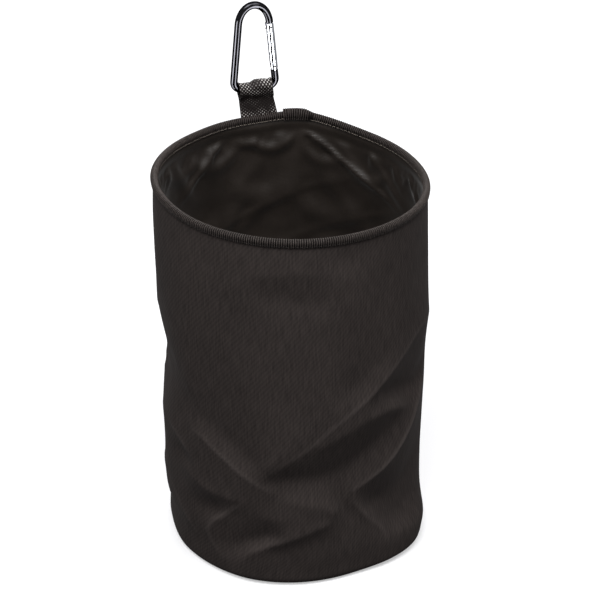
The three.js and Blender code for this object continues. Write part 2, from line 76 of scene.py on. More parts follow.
# %% [markdown]
# The camera stands well back with a long lens, a little to the left of the front and some thirty
# degrees above the table. A long lens keeps the sides of the bag almost parallel. The place is
# worked out from an aim point, a distance and two angles, which is easier to match to a picture
# than turning the camera by hand.

# %% Camera
LENS = 132.0
SENSOR = 36.0
AIM_HEIGHT = 0.1745
AIM_RIGHT = 0.0062
DISTANCE = 1.496
AZIMUTH = math.radians(-15.7)
ELEVATION = math.radians(29.8)

toward_camera = Vector((
    math.sin(AZIMUTH) * math.cos(ELEVATION),
    -math.cos(AZIMUTH) * math.cos(ELEVATION),
    math.sin(ELEVATION),
))
camera_right = Vector((math.cos(AZIMUTH), math.sin(AZIMUTH), 0))
aim = camera_right * AIM_RIGHT + Vector((0, 0, AIM_HEIGHT))
camera_data = bpy.data.cameras.new("camera")
camera_data.lens = LENS
camera_data.sensor_width = SENSOR
camera = bpy.data.objects.new("camera", camera_data)
camera.location = aim + toward_camera * DISTANCE
camera.rotation_euler = toward_camera.to_track_quat("Z", "Y").to_euler()
bpy.context.collection.objects.link(camera)
bpy.context.scene.camera = camera
print("camera at", [round(v, 3) for v in camera.location])

# %% [markdown]
# Materials are node trees. A few small helpers keep them readable: one turns the hex colour that a
# paint program shows into the linear numbers that the renderer wants, one adds a node, sets it up
# and links it in a single line, and one starts a material with its shader.

# %% Helpers for node trees
def linear(hex_colour):
    parts = [int(hex_colour[i:i + 2], 16) / 255 for i in (1, 3, 5)]
    return tuple(c / 12.92 if c <= 0.04045 else ((c + 0.055) / 1.055) ** 2.4 for c in parts) + (1.0,)


def plug(tree, node, inputs):
    """Sets or links inputs. A node given as a value stands for its first output."""
    for socket, value in inputs.items():
        if isinstance(value, bpy.types.Node):
            value = value.outputs[0]
        if isinstance(value, bpy.types.NodeSocket):
            tree.links.new(value, node.inputs[socket])
        else:
            node.inputs[socket].default_value = value


def add_node(tree, kind, inputs=None, **settings):
    node = tree.nodes.new(kind)
    for name, value in settings.items():
        setattr(node, name, value)
    plug(tree, node, inputs or {})
    return node


def start_material(name, **sockets):
    material = bpy.data.materials.new(name)
    material.use_nodes = True
    tree = material.node_tree
    tree.nodes.clear()
    named = {name.replace("_", " "): value for name, value in sockets.items()}
    shader = add_node(tree, "ShaderNodeBsdfPrincipled", named)
    add_node(tree, "ShaderNodeOutputMaterial", {"Surface": shader})
    return material, tree, shader


print("black cloth in linear numbers:", [round(v, 4) for v in linear("#2e2a29")[:3]])

# %% [markdown]
# The bag stands on a white paper sweep in an even white room, between two broad soft lamps, with a
# third behind it to show the cloth of the back. The camera sees room and paper as plain white. A
# mirror sees them darker, which keeps the edges of metal dark. The light that they throw on the
# cloth is weaker still, because a floor that shines upwards as brightly as the lamps shine down
# would fill every fold. The Light Path node tells these cases apart.

# %% Floor, room and lamps
scene = bpy.context.scene
scene.view_settings.view_transform = "Standard"

ROOM_LIGHT = 0.15
MIRRORED = 0.4
PAPER_GLOW = 0.46
SWEEP_HALF = 4.0
SWEEP_LOW = -0.0003  # just under the base
LAMP_POWER = 20.0
LAMP_SIZE = 0.8
LAMP_AIM = (0, 0, 0.15)
LAMPS = {  # place, and share of the power
    "left lamp": ((-0.46, -0.54, 1.4), 1.1),
    "right lamp": ((0.4, -0.54, 1.4), 0.62),
    "back lamp": ((0.25, 1.1, 1.0), 0.6),
}


def seen_directly(tree):
    """One for the camera and through glass, less in a mirror, nothing for light on a surface."""
    path = add_node(tree, "ShaderNodeLightPath")
    glossy = {0: path.outputs["Is Glossy Ray"], 1: MIRRORED}
    mirrored = add_node(tree, "ShaderNodeMath", glossy, operation="MULTIPLY")
    most = path.outputs["Is Camera Ray"]
    for other in (path.outputs["Is Transmission Ray"], mirrored):
        most = add_node(tree, "ShaderNodeMath", {0: most, 1: other}, operation="MAXIMUM")
    return most


def area_lamp(name, place, aim, power, wide, high):
    """Soft rectangular lamp, turned to an aim point."""
    light = bpy.data.lights.new(name, "AREA")
    light.shape = "RECTANGLE"
    light.size = wide
    light.size_y = high
    light.energy = power
    item = bpy.data.objects.new(name, light)
    item.location = place
    item.rotation_euler = (item.location - Vector(aim)).to_track_quat("Z", "Y").to_euler()
    bpy.context.collection.objects.link(item)
    return item


world = bpy.data.worlds.new("white room")
world.use_nodes = True
tree = world.node_tree
tree.nodes.clear()
shown = {"Value": seen_directly(tree), "To Min": ROOM_LIGHT, "To Max": 1.0}
strength = add_node(tree, "ShaderNodeMapRange", shown)
room = add_node(tree, "ShaderNodeBackground", {"Color": (1, 1, 1, 1), "Strength": strength})
add_node(tree, "ShaderNodeOutputWorld", {"Surface": room})
scene.world = world

paper, tree, shader = start_material("white paper sweep", Roughness=0.9, Specular_IOR_Level=0.1,
                                     Emission_Color=(1, 1, 1, 1))
seen = seen_directly(tree)
tones = {0: seen, 6: linear("#6e6e70"), 7: linear("#c0c0c2")}
tone = add_node(tree, "ShaderNodeMix", tones, data_type="RGBA")
glow = add_node(tree, "ShaderNodeMath", {0: seen, 1: PAPER_GLOW}, operation="MULTIPLY")
plug(tree, shader, {"Base Color": tone.outputs[2], "Emission Strength": glow})
corners = [(-1, -1), (1, -1), (1, 1), (-1, 1)]
corners = [(x * SWEEP_HALF, y * SWEEP_HALF, SWEEP_LOW) for x, y in corners]
floor_mesh = bpy.data.meshes.new("floor")
floor_mesh.from_pydata(corners, [], [(0, 1, 2, 3)])
floor_mesh.materials.append(paper)
floor = bpy.data.objects.new("floor", floor_mesh)
bpy.context.collection.objects.link(floor)
floor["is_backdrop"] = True

for name, (place, share) in LAMPS.items():
    area_lamp(name, place, LAMP_AIM, LAMP_POWER * share, LAMP_SIZE, LAMP_SIZE)
print("room", ROOM_LIGHT, "lamps", LAMP_POWER, "watts")

# %% [markdown]
# Polished metal looks like metal only when it mirrors something with edges. Photographers stand
# white cards beside such a piece. Two small cards do that here for the hook, close to it and lower,
# because the camera looks down. They are area lamps that the camera does not see, and light linking
# keeps them to the metal alone. The collection that they light is filled when the metal pieces are
# made.

# %% White cards for the metal
HOOK_PLACE = Vector((0, 0.093, 0.33))
CARD_AWAY = 0.11
CARD_DROP = 0.065
CARD_WIDE = 0.046
CARD_HIGH = 0.15
CARDS = {"left card": (-66, 0.62), "right card": (22, 0.5)}  # turn from the front, and power

bright_metal = bpy.data.collections.new("bright metal")
for name, (turn, power) in CARDS.items():
    turn = math.radians(turn)
    away = Vector((CARD_AWAY * math.sin(turn), -CARD_AWAY * math.cos(turn), -CARD_DROP))
    card = area_lamp(name, HOOK_PLACE + away, HOOK_PLACE, power, CARD_WIDE, CARD_HIGH)
    card.visible_camera = False
    card.light_linking.receiver_collection = bright_metal
print("cards beside the hook:", len(CARDS))

# %% [markdown]
# Nearly every soft piece here is a grid of points: rows up the bag and columns round it. One
# helper turns such a grid into a mesh with a UV map in metres, so that threads keep their real
# spacing. Others close a form, give a sheet its thickness, keep a number for each point, apply the
# modifiers, and hang a piece on its body in place of the imported parts.

# %% Helpers for meshes
MM = 0.001
WELD = 1e-6


def grid_mesh(name, points, uv=None, wrap=True):
    rows, columns = points.shape[:2]
    across = np.arange(columns if wrap else columns - 1)
    ahead = (across + 1) % columns
    low = np.arange(rows - 1)[:, None] * columns
    quads = np.stack([low + across, low + ahead, low + columns + ahead, low + columns + across], -1)
    mesh = bpy.data.meshes.new(name)
    mesh.from_pydata((points.reshape(-1, 3) * MM).tolist(), [], quads.reshape(-1, 4).tolist())
    if uv is not None:
        if wrap:
            full_turn = uv[0, -1, 0] * 2 - uv[0, -2, 0] - uv[0, 0, 0]
            uv = np.concatenate([uv, uv[:, :1] + [full_turn, 0]], 1)
        wide = uv.shape[1]
        base = np.arange(rows - 1)[:, None] * wide + across
        corners = np.stack([base, base + 1, base + wide + 1, base + wide], -1).reshape(-1)
        layer = mesh.uv_layers.new(name="thread")
        layer.data.foreach_set("uv", (uv.reshape(-1, 2)[corners] * MM).astype(np.float32).ravel())
    return mesh


def closed_form(mesh, fill=True):
    """Welds the seam of a form, fills its open ends and turns all faces outwards."""
    form = bmesh.new()
    form.from_mesh(mesh)
    bmesh.ops.remove_doubles(form, verts=form.verts, dist=WELD)
    if fill:
        bmesh.ops.holes_fill(form, edges=[e for e in form.edges if e.is_boundary])
    bmesh.ops.recalc_face_normals(form, faces=form.faces)
    form.to_mesh(mesh)
    form.free()
    return mesh


def keep_number(mesh, name, values):
    """Keeps a number for each point, for a material or a node tree to read."""
    values = np.ascontiguousarray(values, np.float32).ravel()
    mesh.attributes.new(name, "FLOAT", "POINT").data.foreach_set("value", values)


def add_object(name, mesh, material=None):
    item = bpy.data.objects.new(name, mesh)
    bpy.context.collection.objects.link(item)
    if material:
        mesh.materials.clear()
        mesh.materials.append(material)
    return item


def thicken(item, thickness, offset=-1):
    thick = item.modifiers.new("thickness", "SOLIDIFY")
    thick.thickness = thickness * MM
    thick.offset = offset


def settle(item, smooth_angle=40):
    """Applies the modifiers, so that the piece is one plain mesh."""
    bpy.context.view_layer.update()
    plain = bpy.data.meshes.new_from_object(item.evaluated_get(bpy.context.evaluated_depsgraph_get()))
    item.modifiers.clear()
    old = item.data
    item.data = plain
    plain.name = item.name
    if old.users == 0:
        bpy.data.meshes.remove(old)
    plain.shade_smooth()
    plain.set_sharp_from_angle(angle=math.radians(smooth_angle))
    return item


def dress(item, body, slot, *nodes):
    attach(item, body)
    if nodes:
        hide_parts(*nodes)
    print(item.name, "on", body, "with", len(item.data.polygons), "faces")


def smooth_step(value, low, high):
    t = np.clip((np.asarray(value, float) - low) / (high - low), 0, 1)
    return t * t * (3 - 2 * t)


def stacked(*parts):
    """One array of points from arrays of their parts, each spread to the full shape."""
    return np.stack(np.broadcast_arrays(*parts), -1)


def run_along(across, up):
    """Distance along a line from its start."""
    return np.concatenate([[0], np.cumsum(np.hypot(np.diff(across), np.diff(up)))])


print("helpers ready, lengths in millimetres from here on")

# %% [markdown]
# The wall of the real bag is one width of cloth sewn to a round base. It has slumped a little, so
# the lower half is buckled into ridges and hollows while the upper half, held by the hoop, stays
# smooth. Random noise would not look like cloth. Instead the main creases are drawn as lines on
# the unrolled wall, each point with a turn from the front in degrees, a height and a depth in
# millimetres, and the cloth is stretched between them like a tent.

# %% Creases of the slumped wall
BAG_RADIUS = 89.5
CLOTH_TOP = 266.1
WALL_CLOTH = 0.8

CREASES = {
    "arch under the rim": [(-36, 238, 0.5), (-26, 243, 0.9), (-12, 247, 1.0), (0, 243, 0.9),
        (8, 236, 0.8), (15, 228, 0.6)],
    "dip over the arch": [(6, 253, -0.6), (12, 250, -0.5)],
    "dip under the arch": [(-26, 226, -0.7), (-14, 224, -0.9), (-4, 222, -0.6)],
    "left flute": [(-60, 238, 0.7), (-63, 200, 1.8), (-65, 165, 2.0), (-66, 140, 1.8)],
    "left facet, top": [(-54, 226, 1.2), (-42, 226, 0.9)],
    "front ridge": [(4, 222, 0.6), (-1, 205, 0.9), (-2, 180, 1.3), (-1, 160, 1.7), (0, 140, 2.2)],
    "edge of the flat wall": [(0, 139, 2.3), (-6, 129, 2.5), (-14, 117, 2.6), (-23, 104, 2.6),
        (-28, 95, 2.4)],
    "right facet, bottom": [(10, 152, -0.4), (19, 162, 0.5), (28, 174, 1.2)],
    "right facet, top": [(10, 214, 0.9), (24, 214, 0.9)],
    "long ridge": [(78, 171, 2.4), (66, 175, 2.8), (51, 177, 3.2), (44, 173, 3.3), (36, 166, 3.1),
        (28, 158, 2.8), (20, 148, 2.6), (9, 137, 2.4), (0, 127, 2.4), (-9, 114, 2.2), (-20, 101, 2.0),
        (-28, 90, 1.8)],
    "dark triangle": [(24, 144, -0.4), (29, 141, -2.0), (34, 137, -3.4), (41, 131, -3.8), (48, 129, -3.2),
        (56, 132, -2.0), (62, 137, -1.0)],
    "shelf": [(46, 118, 0.2), (41, 121, 1.0), (36, 125, 1.8), (28, 129, 2.6), (20, 130, 3.0),
        (12, 126, 2.7), (4, 120, 2.5), (-4, 114, 2.3)],
    "deep hollow": [(-24, 86, -1.6), (-14, 85, -3.8), (-4, 84, -4.6), (6, 86, -5.0), (16, 96, -4.6),
        (26, 108, -2.8), (34, 115, -1.4)],
    "ridge, low right": [(64, 128, 1.6), (55, 124, 2.2), (49, 116, 2.6), (43, 104, 2.4), (38, 96, 2.0),
        (32, 88, 1.4), (26, 82, 0.6), (18, 76, -0.8), (9, 70, -2.2)],
    "facet, low right": [(9, 70, -2.2), (13, 80, -2.8), (20, 91, -2.6), (28, 100, -1.6), (36, 108, -0.4)],
    "hollow, low right": [(18, 57, -4.4), (25, 53, -5.8), (34, 52, -6.2), (44, 55, -5.8), (54, 60, -4.6),
        (62, 66, -3.2)],
    "floor of the low hollow": [(32, 38, -4.2), (42, 36, -4.4), (52, 40, -4.0), (62, 46, -2.6)],
    "arm down to the base": [(9, 69, -2.2), (13, 59, -2.0), (20, 44, -1.4), (27, 31, -0.4), (29, 20, 0.2)],
    "gap beside the pillow": [(6, 76, -4.6), (6, 66, -4.8), (8, 54, -4.4), (8, 40, -3.4), (9, 26, -2.0)],
    "left step, above": [(-66, 124, 0.4), (-58, 121, -0.5), (-46, 113, -0.8), (-38, 104, -0.6),
        (-32, 96, 0.2)],
    "left step": [(-66, 110, 1.6), (-56, 108, 2.0), (-46, 99, 2.3), (-38, 90, 2.4), (-31, 83, 1.8),
        (-25, 77, 0.6)],
    "facet, left": [(-72, 73, 1.4), (-66, 73, 2.4), (-57, 69, 3.6), (-47, 67, 3.9), (-39, 67, 3.0)],
    "hollow, left": [(-66, 49, -0.2), (-58, 50, -2.2), (-50, 52, -2.6), (-43, 57, -1.2)],
    "short ridge, left": [(-86, 99, 1.2), (-78, 97, 2.0), (-71, 93, 2.2), (-64, 86, 1.8)],
    "dark corner, left": [(-74, 84, -0.8), (-68, 81, -0.6)],
    "pillow": [(-24, 70, 0.2), (-14, 68, 0.8), (-4, 64, 0.8), (2, 58, 0.0)],
    "pillow, lower edge": [(-30, 55, 1.2), (-20, 55, 1.4), (-8, 55, 1.2), (0, 51, 0.4)],
    "pillow, left side": [(-36, 72, 1.8), (-40, 63, 1.9), (-46, 54, 2.1), (-53, 44, 2.2), (-57, 34, 2.2),
        (-55, 24, 1.8), (-47, 13, 0.8)],
    "pillow hollow": [(-46, 26, -1.2), (-39, 27, -3.2), (-32, 33, -3.8), (-24, 40, -2.4)],
    "low ridge": [(-39, 16, 0.6), (-36, 26, 1.4), (-26, 35, 1.8), (-14, 43, 2.0), (-3, 50, 1.6)],
    "under the low ridge": [(-24, 27, -0.6), (-12, 34, -0.8), (0, 40, -1.0)],
    "left foot": [(-92, 50, 0.9), (-80, 42, 1.5), (-70, 31, 1.7), (-62, 21, 1.2)],
    "right corner": [(36, 24, 0.2), (46, 18, 0.4), (56, 16, 0.8), (66, 16, 0.6), (76, 18, -0.6),
        (90, 22, -0.4)],
    "waist": [(-106, 150, -3.0), (-92, 149, -3.4), (-80, 147, -2.4)],
    "waist, lower": [(-106, 131, -3.6), (-92, 130, -3.4), (-80, 132, -2.2)],
    "bulge": [(-104, 95, 2.0), (-92, 93, 2.2)],
    "bulge, lower": [(-118, 52, 2.2), (-106, 52, 2.8), (-96, 51, 2.2)],
}
SHARP = {"long ridge": 0.6, "ridge, low right": 1.3, "arm down to the base": 0.5, "left step": 0.7,
         "short ridge, left": 0.6, "pillow, left side": 0.6, "low ridge": 0.25, "left foot": 0.4}
print("crease lines:", len(CREASES), "points:", sum(len(line) for line in CREASES.values()))

# %% [markdown]
# Stretching a membrane over the crease lines is a relaxation: hold the drawn points, and give
# every other point the mean of its neighbours again and again. Starting on a coarse grid and
# refining it makes this quick. The back of the bag gets the same creases, turned half round and
# shallower, as on a bag that has slumped all over.

# %% Stretch the cloth over the creases
COLUMNS = 300
ROWS = 132
COARSE_COLUMNS = 75
COARSE_ROWS = 33
WALL_LOW = 6.0
FOLD_DEPTH = 1.3
BACK_FADE = 0.75
BACK_SHIFT = [190, 8, 0]  # turn, height and depth
BACK_FROM = 104
BACK_TO = 256
LINE_STEPS = 40  # for each point of a crease line

turns = np.arange(COLUMNS) / COLUMNS * 2 * math.pi
heights = np.linspace(WALL_LOW, CLOTH_TOP, ROWS)


def crease_marks(columns, rows):
    """Grid cells that a crease passes through, with its depth there."""
    fixed = np.zeros((rows, columns), bool)
    depth = np.zeros((rows, columns))
    for line in CREASES.values():
        front = np.array(line, float) * [1, 1, FOLD_DEPTH]
        back = front * [-1, 1, BACK_FADE] + BACK_SHIFT
        back = back[(back[:, 0] > BACK_FROM) & (back[:, 0] < BACK_TO)]
        for points in filter(len, (front, back)):
            where = np.linspace(0, len(points) - 1, LINE_STEPS * len(points))
            turn, height, deep = (np.interp(where, range(len(points)), points[:, i]) for i in range(3))
            column = np.round(turn / 360 * columns).astype(int) % columns
            row = np.round((height - WALL_LOW) / (CLOTH_TOP - WALL_LOW) * (rows - 1)).astype(int)
            row = np.clip(row, 0, rows - 1)
            fixed[row, column] = True
            depth[row, column] = deep
    for row in (0, rows - 1):
        fixed[row] = True
        depth[row] = 0.0
    return fixed, depth


def stretch(columns, rows, start, passes):
    fixed, depth = crease_marks(columns, rows)
    cloth = np.where(fixed, depth, start)
    for _ in range(passes):
        mean = (np.roll(cloth, 1, 1) + np.roll(cloth, -1, 1)) / 4
        mean[1:-1] += (cloth[2:] + cloth[:-2]) / 4
        mean[0], mean[-1] = cloth[0], cloth[-1]
        cloth = np.where(fixed, depth, mean)
    return cloth


def soften(cloth, passes):
    for _ in range(passes):
        cloth = cloth / 2 + (np.roll(cloth, 1, 1) + np.roll(cloth, -1, 1)) / 4
        cloth[1:-1] = cloth[1:-1] / 2 + (cloth[2:] + cloth[:-2]) / 4
    return cloth


coarse = stretch(COARSE_COLUMNS, COARSE_ROWS, np.zeros((COARSE_ROWS, COARSE_COLUMNS)), passes=400)
coarse = np.concatenate([coarse, coarse[:, :1]], 1)
row_at = np.linspace(0, COARSE_ROWS - 1, ROWS)
column_at = np.arange(COLUMNS) / COLUMNS * COARSE_COLUMNS
halfway = np.array([np.interp(column_at, range(COARSE_COLUMNS + 1), row) for row in coarse])
start = np.array([np.interp(row_at, range(COARSE_ROWS), column) for column in halfway.T]).T
wall_depth = stretch(COLUMNS, ROWS, start, passes=250)
print("cloth stands out", round(wall_depth.max(), 2), "and in", round(wall_depth.min(), 2), "mm")

# %% [markdown]
# A tent has sharp lines everywhere, but cloth only has sharp ridges: its hollows are rounded. So
# the stretched cloth is softened, and of the sharp and the soft version the one that lies further
# out is kept. A few long low waves on top stand for the unevenness of any sewn cloth.

# %% Round the hollows
WAVES = 14
WAVE_DEPTH = 0.13
WAVE_HEIGHT = 60.0
WAVES_FROM = (WALL_LOW, 40)  # heights over which the waves set in
WAVES_TO = (225, CLOTH_TOP)

wall_depth = soften(np.maximum(wall_depth, soften(wall_depth, passes=6)), passes=1)
rng = np.random.default_rng(8)
ease = smooth_step(heights, *WAVES_FROM) * (1 - smooth_step(heights, *WAVES_TO))
for _ in range(WAVES):
    round_waves = rng.integers(2, 15)
    up_waves = rng.uniform(-5, 5)
    wave = np.sin(round_waves * turns + up_waves * heights[:, None] / WAVE_HEIGHT + rng.uniform(0, 6))
    wall_depth += WAVE_DEPTH * wave * ease[:, None]
print("after rounding:", round(wall_depth.max(), 2), "and", round(wall_depth.min(), 2), "mm")

# %% [markdown]
# Some ridges are creased sharp and catch the light in thin bright lines. How near each point of
# the wall lies to such a line is kept as a number, which lifts the crease by half a millimetre
# here and is handed to the material, which paints a highlight along the lines.

# %% Sharp creases
CREASE_WIDTH = 1.5
CREASE_LIFT = 0.5


def near_crease(turn, height):
    """Nearly one on a sharp crease, falling to nothing a few millimetres beside it and at its ends."""
    here = stacked(np.radians((turn + 180) % 360 - 180) * BAG_RADIUS, height)
    most = np.zeros(here.shape[:2])
    for name, strength in SHARP.items():
        line = np.array(CREASES[name])[:, :2] * [math.radians(1) * BAG_RADIUS, 1]
        for i, (begin, end) in enumerate(zip(line[:-1], line[1:])):
            along = end - begin
            share = np.clip(((here - begin) @ along) / (along @ along), 0, 1)
            away = np.linalg.norm(here - begin - share[..., None] * along, axis=-1)
            fade = np.sin(np.pi * np.clip((i + share) / (len(line) - 1), 0, 1)) ** 0.7
            most = np.maximum(most, strength * fade * np.exp(-(away / CREASE_WIDTH) ** 2))
    return most


# Nearness to a sharp crease: it lifts the cloth here, and the twill paints a highlight along it.
rubbed = near_crease(np.degrees(turns)[None, :], heights[:, None])
wall_depth += CREASE_LIFT * rubbed
print("points on sharp creases:", int((rubbed > 0.5).sum()))

# %% [markdown]
# A cloth bag never stands quite straight. The hoop in the rim is a little oval, its right
# side hangs a few millimetres below the left, and it peaks at the back beside the join of its two
# ends. How far the rim rises or sinks is noted at some turns in degrees and smoothed between them.
# Low down the wall leans over to the right of the base that it is sewn to. Its foot swells out over
# the base seam at the front right and is drawn in at the left, noted in the same way. Everything
# sewn to the bag has to follow, so the slump is one small function of place.

# %% Slump of the bag
RIM_SAG = 2.3
RIM_OVAL = 1.3
RIM_RISE = [(5, -2.2), (31, -3.0), (60, -3.6), (95, -3.9), (118, -3.2), (131, -2.5), (141, -0.4), (152, 3.0),
            (161, 5.4), (170, 3.8), (180, 2.4), (196, 2.2), (210, 1.1), (245, 0.9), (265, 1.2), (285, 0.4),
            (303, -0.7), (323, -0.8), (344, -1.5)]
LEAN = 3.2
FOOT_SWELL = [(0, -1.0), (12, -1.2), (21, 0.4), (30, 4.0), (37, 5.9), (47, 8.2), (54, 6.8), (61, 5.2),
              (68, 2.2), (76, -0.9), (90, -1.0), (130, 0.0), (200, 0.0), (250, -2.0), (263, -4.0),
              (274, -3.5), (284, -2.3), (295, -2.4), (308, -1.5), (325, 0.5), (340, 0.0)]
EDGE_RADIUS = 6.0
SEAM_RADIUS = BAG_RADIUS - EDGE_RADIUS
SAG_HEIGHTS = (70, 250)  # each movement grows or fades between two heights
OVAL_HEIGHTS = (120, 260)
RISE_HEIGHTS = (200, 262)
LEAN_GROWS = (4, 26)
LEAN_FADES = (0, 240)
FOOT_FADES = (6, 38)
SMOOTHING = 30

compass = np.arange(360)


def all_round(noted):
    """Values noted at some turns, joined smoothly right round the bag, one for each degree."""
    line = np.interp(compass, *zip(*noted), period=360)
    for _ in range(SMOOTHING):
        line = line / 2 + (np.roll(line, 1) + np.roll(line, -1)) / 4
    return line


rim_rise = all_round(RIM_RISE)
foot_swell = all_round(FOOT_SWELL)


def slump(points):
    """Moves points as the bag has moved: the rim sinks, widens and peaks, the low wall leans and swells."""
    moved = points.copy()
    x, y, z = np.moveaxis(points, -1, 0)
    away = np.hypot(x, y)
    turn = np.degrees(np.arctan2(x, -y))
    foot = np.interp(turn, compass, foot_swell, period=360)
    foot *= np.clip((away - SEAM_RADIUS) / EDGE_RADIUS, 0, 1) * (1 - smooth_step(z, *FOOT_FADES))
    sag = RIM_SAG * np.sign(x) * np.abs(x / BAG_RADIUS) ** 3 * smooth_step(z, *SAG_HEIGHTS)
    rise = np.interp(turn, compass, rim_rise, period=360) * smooth_step(z, *RISE_HEIGHTS)
    lean = LEAN * smooth_step(z, *LEAN_GROWS) * (1 - smooth_step(z, *LEAN_FADES))
    moved[..., :2] *= 1 + (foot / np.maximum(away, 1))[..., None]
    moved[..., 2] += rise - sag
    moved[..., 0] *= 1 + RIM_OVAL / BAG_RADIUS * smooth_step(z, *OVAL_HEIGHTS)
    moved[..., :2] += lean[..., None] * np.array(camera_right[:2])
    return moved


def on_bag(radius, around, height):
    """Points at a distance from the axis and a turn from the front towards +X, slumped."""
    return slump(stacked(radius * np.sin(around), -radius * np.cos(around), height))


print("rim sag", RIM_SAG, "mm at each side, low wall", LEAN, "mm aside")

# %% [markdown]
# The outer cloth is a matt black polyester twill. What the eye gets from it is very fine upright
# threads with a hint of the twill's diagonal, and a soft dull sheen. Real threads are about a
# third of a millimetre apart, too fine for this picture, so they are drawn about three times as
# coarse. The UV map is in metres, so the scale of each pattern follows from its spacing.

# %% Black twill
THREAD_SPACING = 0.0011  # drawn coarser than the real 0.35 mm, so that it shows
THREAD_RUN = 0.012  # length over which one thread keeps its tone
TWILL_SPACING = 0.0024  # coarser than the real 0.8 mm for the same reason
TWILL_ANGLE = math.radians(40)
TWILL_CLOUD = 0.04  # size of the faint lighter and darker areas


def bands(spacing):
    """Scale of a wave texture whose bands lie this far apart."""
    return 2 * math.pi / 20 / spacing


twill, tree, shader = start_material("black polyester twill", Roughness=0.75, Specular_IOR_Level=0.02,
                                     Sheen_Weight=0.012, Sheen_Roughness=0.5)
uv = add_node(tree, "ShaderNodeUVMap", uv_map="thread")
pulled = {"Vector": uv, "Scale": (1 / THREAD_SPACING, 1 / THREAD_RUN, 1)}
pull = add_node(tree, "ShaderNodeMapping", pulled)
upright = add_node(tree, "ShaderNodeTexNoise", {"Vector": pull, "Scale": 1.0, "Detail": 2.0})
slant = add_node(tree, "ShaderNodeMapping", {"Vector": uv, "Rotation": (0, 0, TWILL_ANGLE)})
ribbed = {"Vector": slant, "Scale": bands(TWILL_SPACING), "Distortion": 1.5, "Detail": 1.0}
diagonal = add_node(tree, "ShaderNodeTexWave", ribbed, bands_direction="X")
weave = add_node(tree, "ShaderNodeMix", {0: 0.16, 2: upright, 3: diagonal.outputs["Fac"]})
cloud = add_node(tree, "ShaderNodeTexNoise", {"Vector": uv, "Scale": 1 / TWILL_CLOUD, "Detail": 3.0})
patchiness = add_node(tree, "ShaderNodeMix", {0: 0.22, 2: weave, 3: cloud})
colour = add_node(tree, "ShaderNodeValToRGB", {"Fac": patchiness})
colour.color_ramp.elements[0].position = 0.25
colour.color_ramp.elements[0].color = linear("#292524")
colour.color_ramp.elements[1].position = 0.75
colour.color_ramp.elements[1].color = linear("#3f3937")
# Painted highlight: along the sharp creases the twill is mixed towards a lighter colour, for the light that
# they catch.
crease = add_node(tree, "ShaderNodeAttribute", attribute_name="rubbed")
share = add_node(tree, "ShaderNodeMath", {0: crease.outputs["Fac"], 1: 0.3}, operation="MULTIPLY")
painted_crease_highlight = {0: share, 6: colour, 7: linear("#6b6360")}
lit = add_node(tree, "ShaderNodeMix", painted_crease_highlight, data_type="RGBA")
bump = add_node(tree, "ShaderNodeBump", {"Height": weave, "Strength": 0.4, "Distance": 0.0002})
plug(tree, shader, {"Base Color": lit.outputs[2], "Normal": bump})
print("twill: threads", THREAD_SPACING / MM, "mm apart as drawn")

# %% [markdown]
# The wall is swept along its own profile: from the hidden seam allowance, under the soft bottom
# edge and up to the rim. The creases push it in and out, and Solidify gives it the thickness of
# the cloth, on the inner side.

# %% Wall of the bag
SEAM_ALLOWANCE = 4.5
SEAM_TURN = 0.6  # height at which the allowance turns up

bend = np.radians(np.linspace(-90, 0, 9))[:-1]
bend_r = SEAM_RADIUS + EDGE_RADIUS * np.cos(bend)
bend_z = EDGE_RADIUS + EDGE_RADIUS * np.sin(bend)
profile_r = np.concatenate([[SEAM_RADIUS, SEAM_RADIUS], bend_r, np.full(ROWS, BAG_RADIUS)])
profile_z = np.concatenate([[SEAM_ALLOWANCE, SEAM_TURN], bend_z, heights])
profile_run = run_along(profile_r, profile_z)
hidden = ((len(profile_r) - ROWS, 0), (0, 0))
wall_points = on_bag(profile_r[:, None] + np.pad(wall_depth, hidden), turns, profile_z[:, None])
wall_uv = stacked(turns * BAG_RADIUS, profile_run[:, None])
wall = add_object("wall_cloth", grid_mesh("wall_cloth", wall_points, wall_uv), twill)
keep_number(wall.data, "rubbed", np.pad(rubbed, hidden))
thicken(wall, WALL_CLOTH)
settle(wall)
dress(wall, "bag", "wall_cloth", "outer_wall")

# %% [markdown]
# The lining is a light satin, cut a little fuller than the wall. A seam a little below the binding
# closes the channel that the wire runs in, and under that seam the spare width puckers and hangs
# in loose folds. Each fold is a soft ridge along a line. All of them only push the lining
# inwards, away from the wall behind it. The folds at the back, which the picture shows, are
# listed one by one, and a fixed seed scatters the others.

# %% Folds of the lining
LINING_INNER = 87.7
LINING_CLOTH = 0.5
LINING_LOW = 13.0
SEAM_DROP = 8.6  # from the top of the cloth down to the channel seam
CHANNEL_BULGE = 0.7
MOST_LOOSE = 3.6
SWAGS = [  # turn, half width, top, dip, thickness, height
    (173, 17, 5, 8, 3.6, 2.6), (184, 7, 6, 2, 3.0, 1.9), (201, 20, 9, 10, 5.0, 2.2),
    (150, 15, 14, 7, 4.5, 1.8), (222, 18, 6, 9, 4.5, 1.8), (128, 18, 16, 10, 5.0, 1.8),
    (176, 30, 34, 14, 8.0, 2.4), (206, 30, 52, 16, 9.0, 2.4), (146, 28, 48, 15, 9.0, 2.4),
    (180, 36, 82, 18, 11.0, 2.6),
]
SLANTS = [(160, -1.9, 46, 5.0, 2.8), (196, 1.2, 40, 5.0, 2.2)]  # turn, slant, reach, thickness, height
FOLDS = 26
FOLD_REACH = (30, 120)
FOLD_WIDE = (4.0, 9.0)
FOLD_HIGH = (0.6, 2.0)
PUCKERS = 90
PUCKER_REACH = (9, 26)
PUCKER_WIDE = 2.6
PUCKER_HIGH = (0.4, 1.2)
DENTS = 50
DENT_DOWN = (25, 245)  # below the top of the cloth
DENT_WIDE = 7
DENT_TALL = 22
DENT_HIGH = (0.5, 1.6)
LOOSE_FROM = (14, 40)  # heights over which the folds set in
CHANNEL_TOP = 1.0

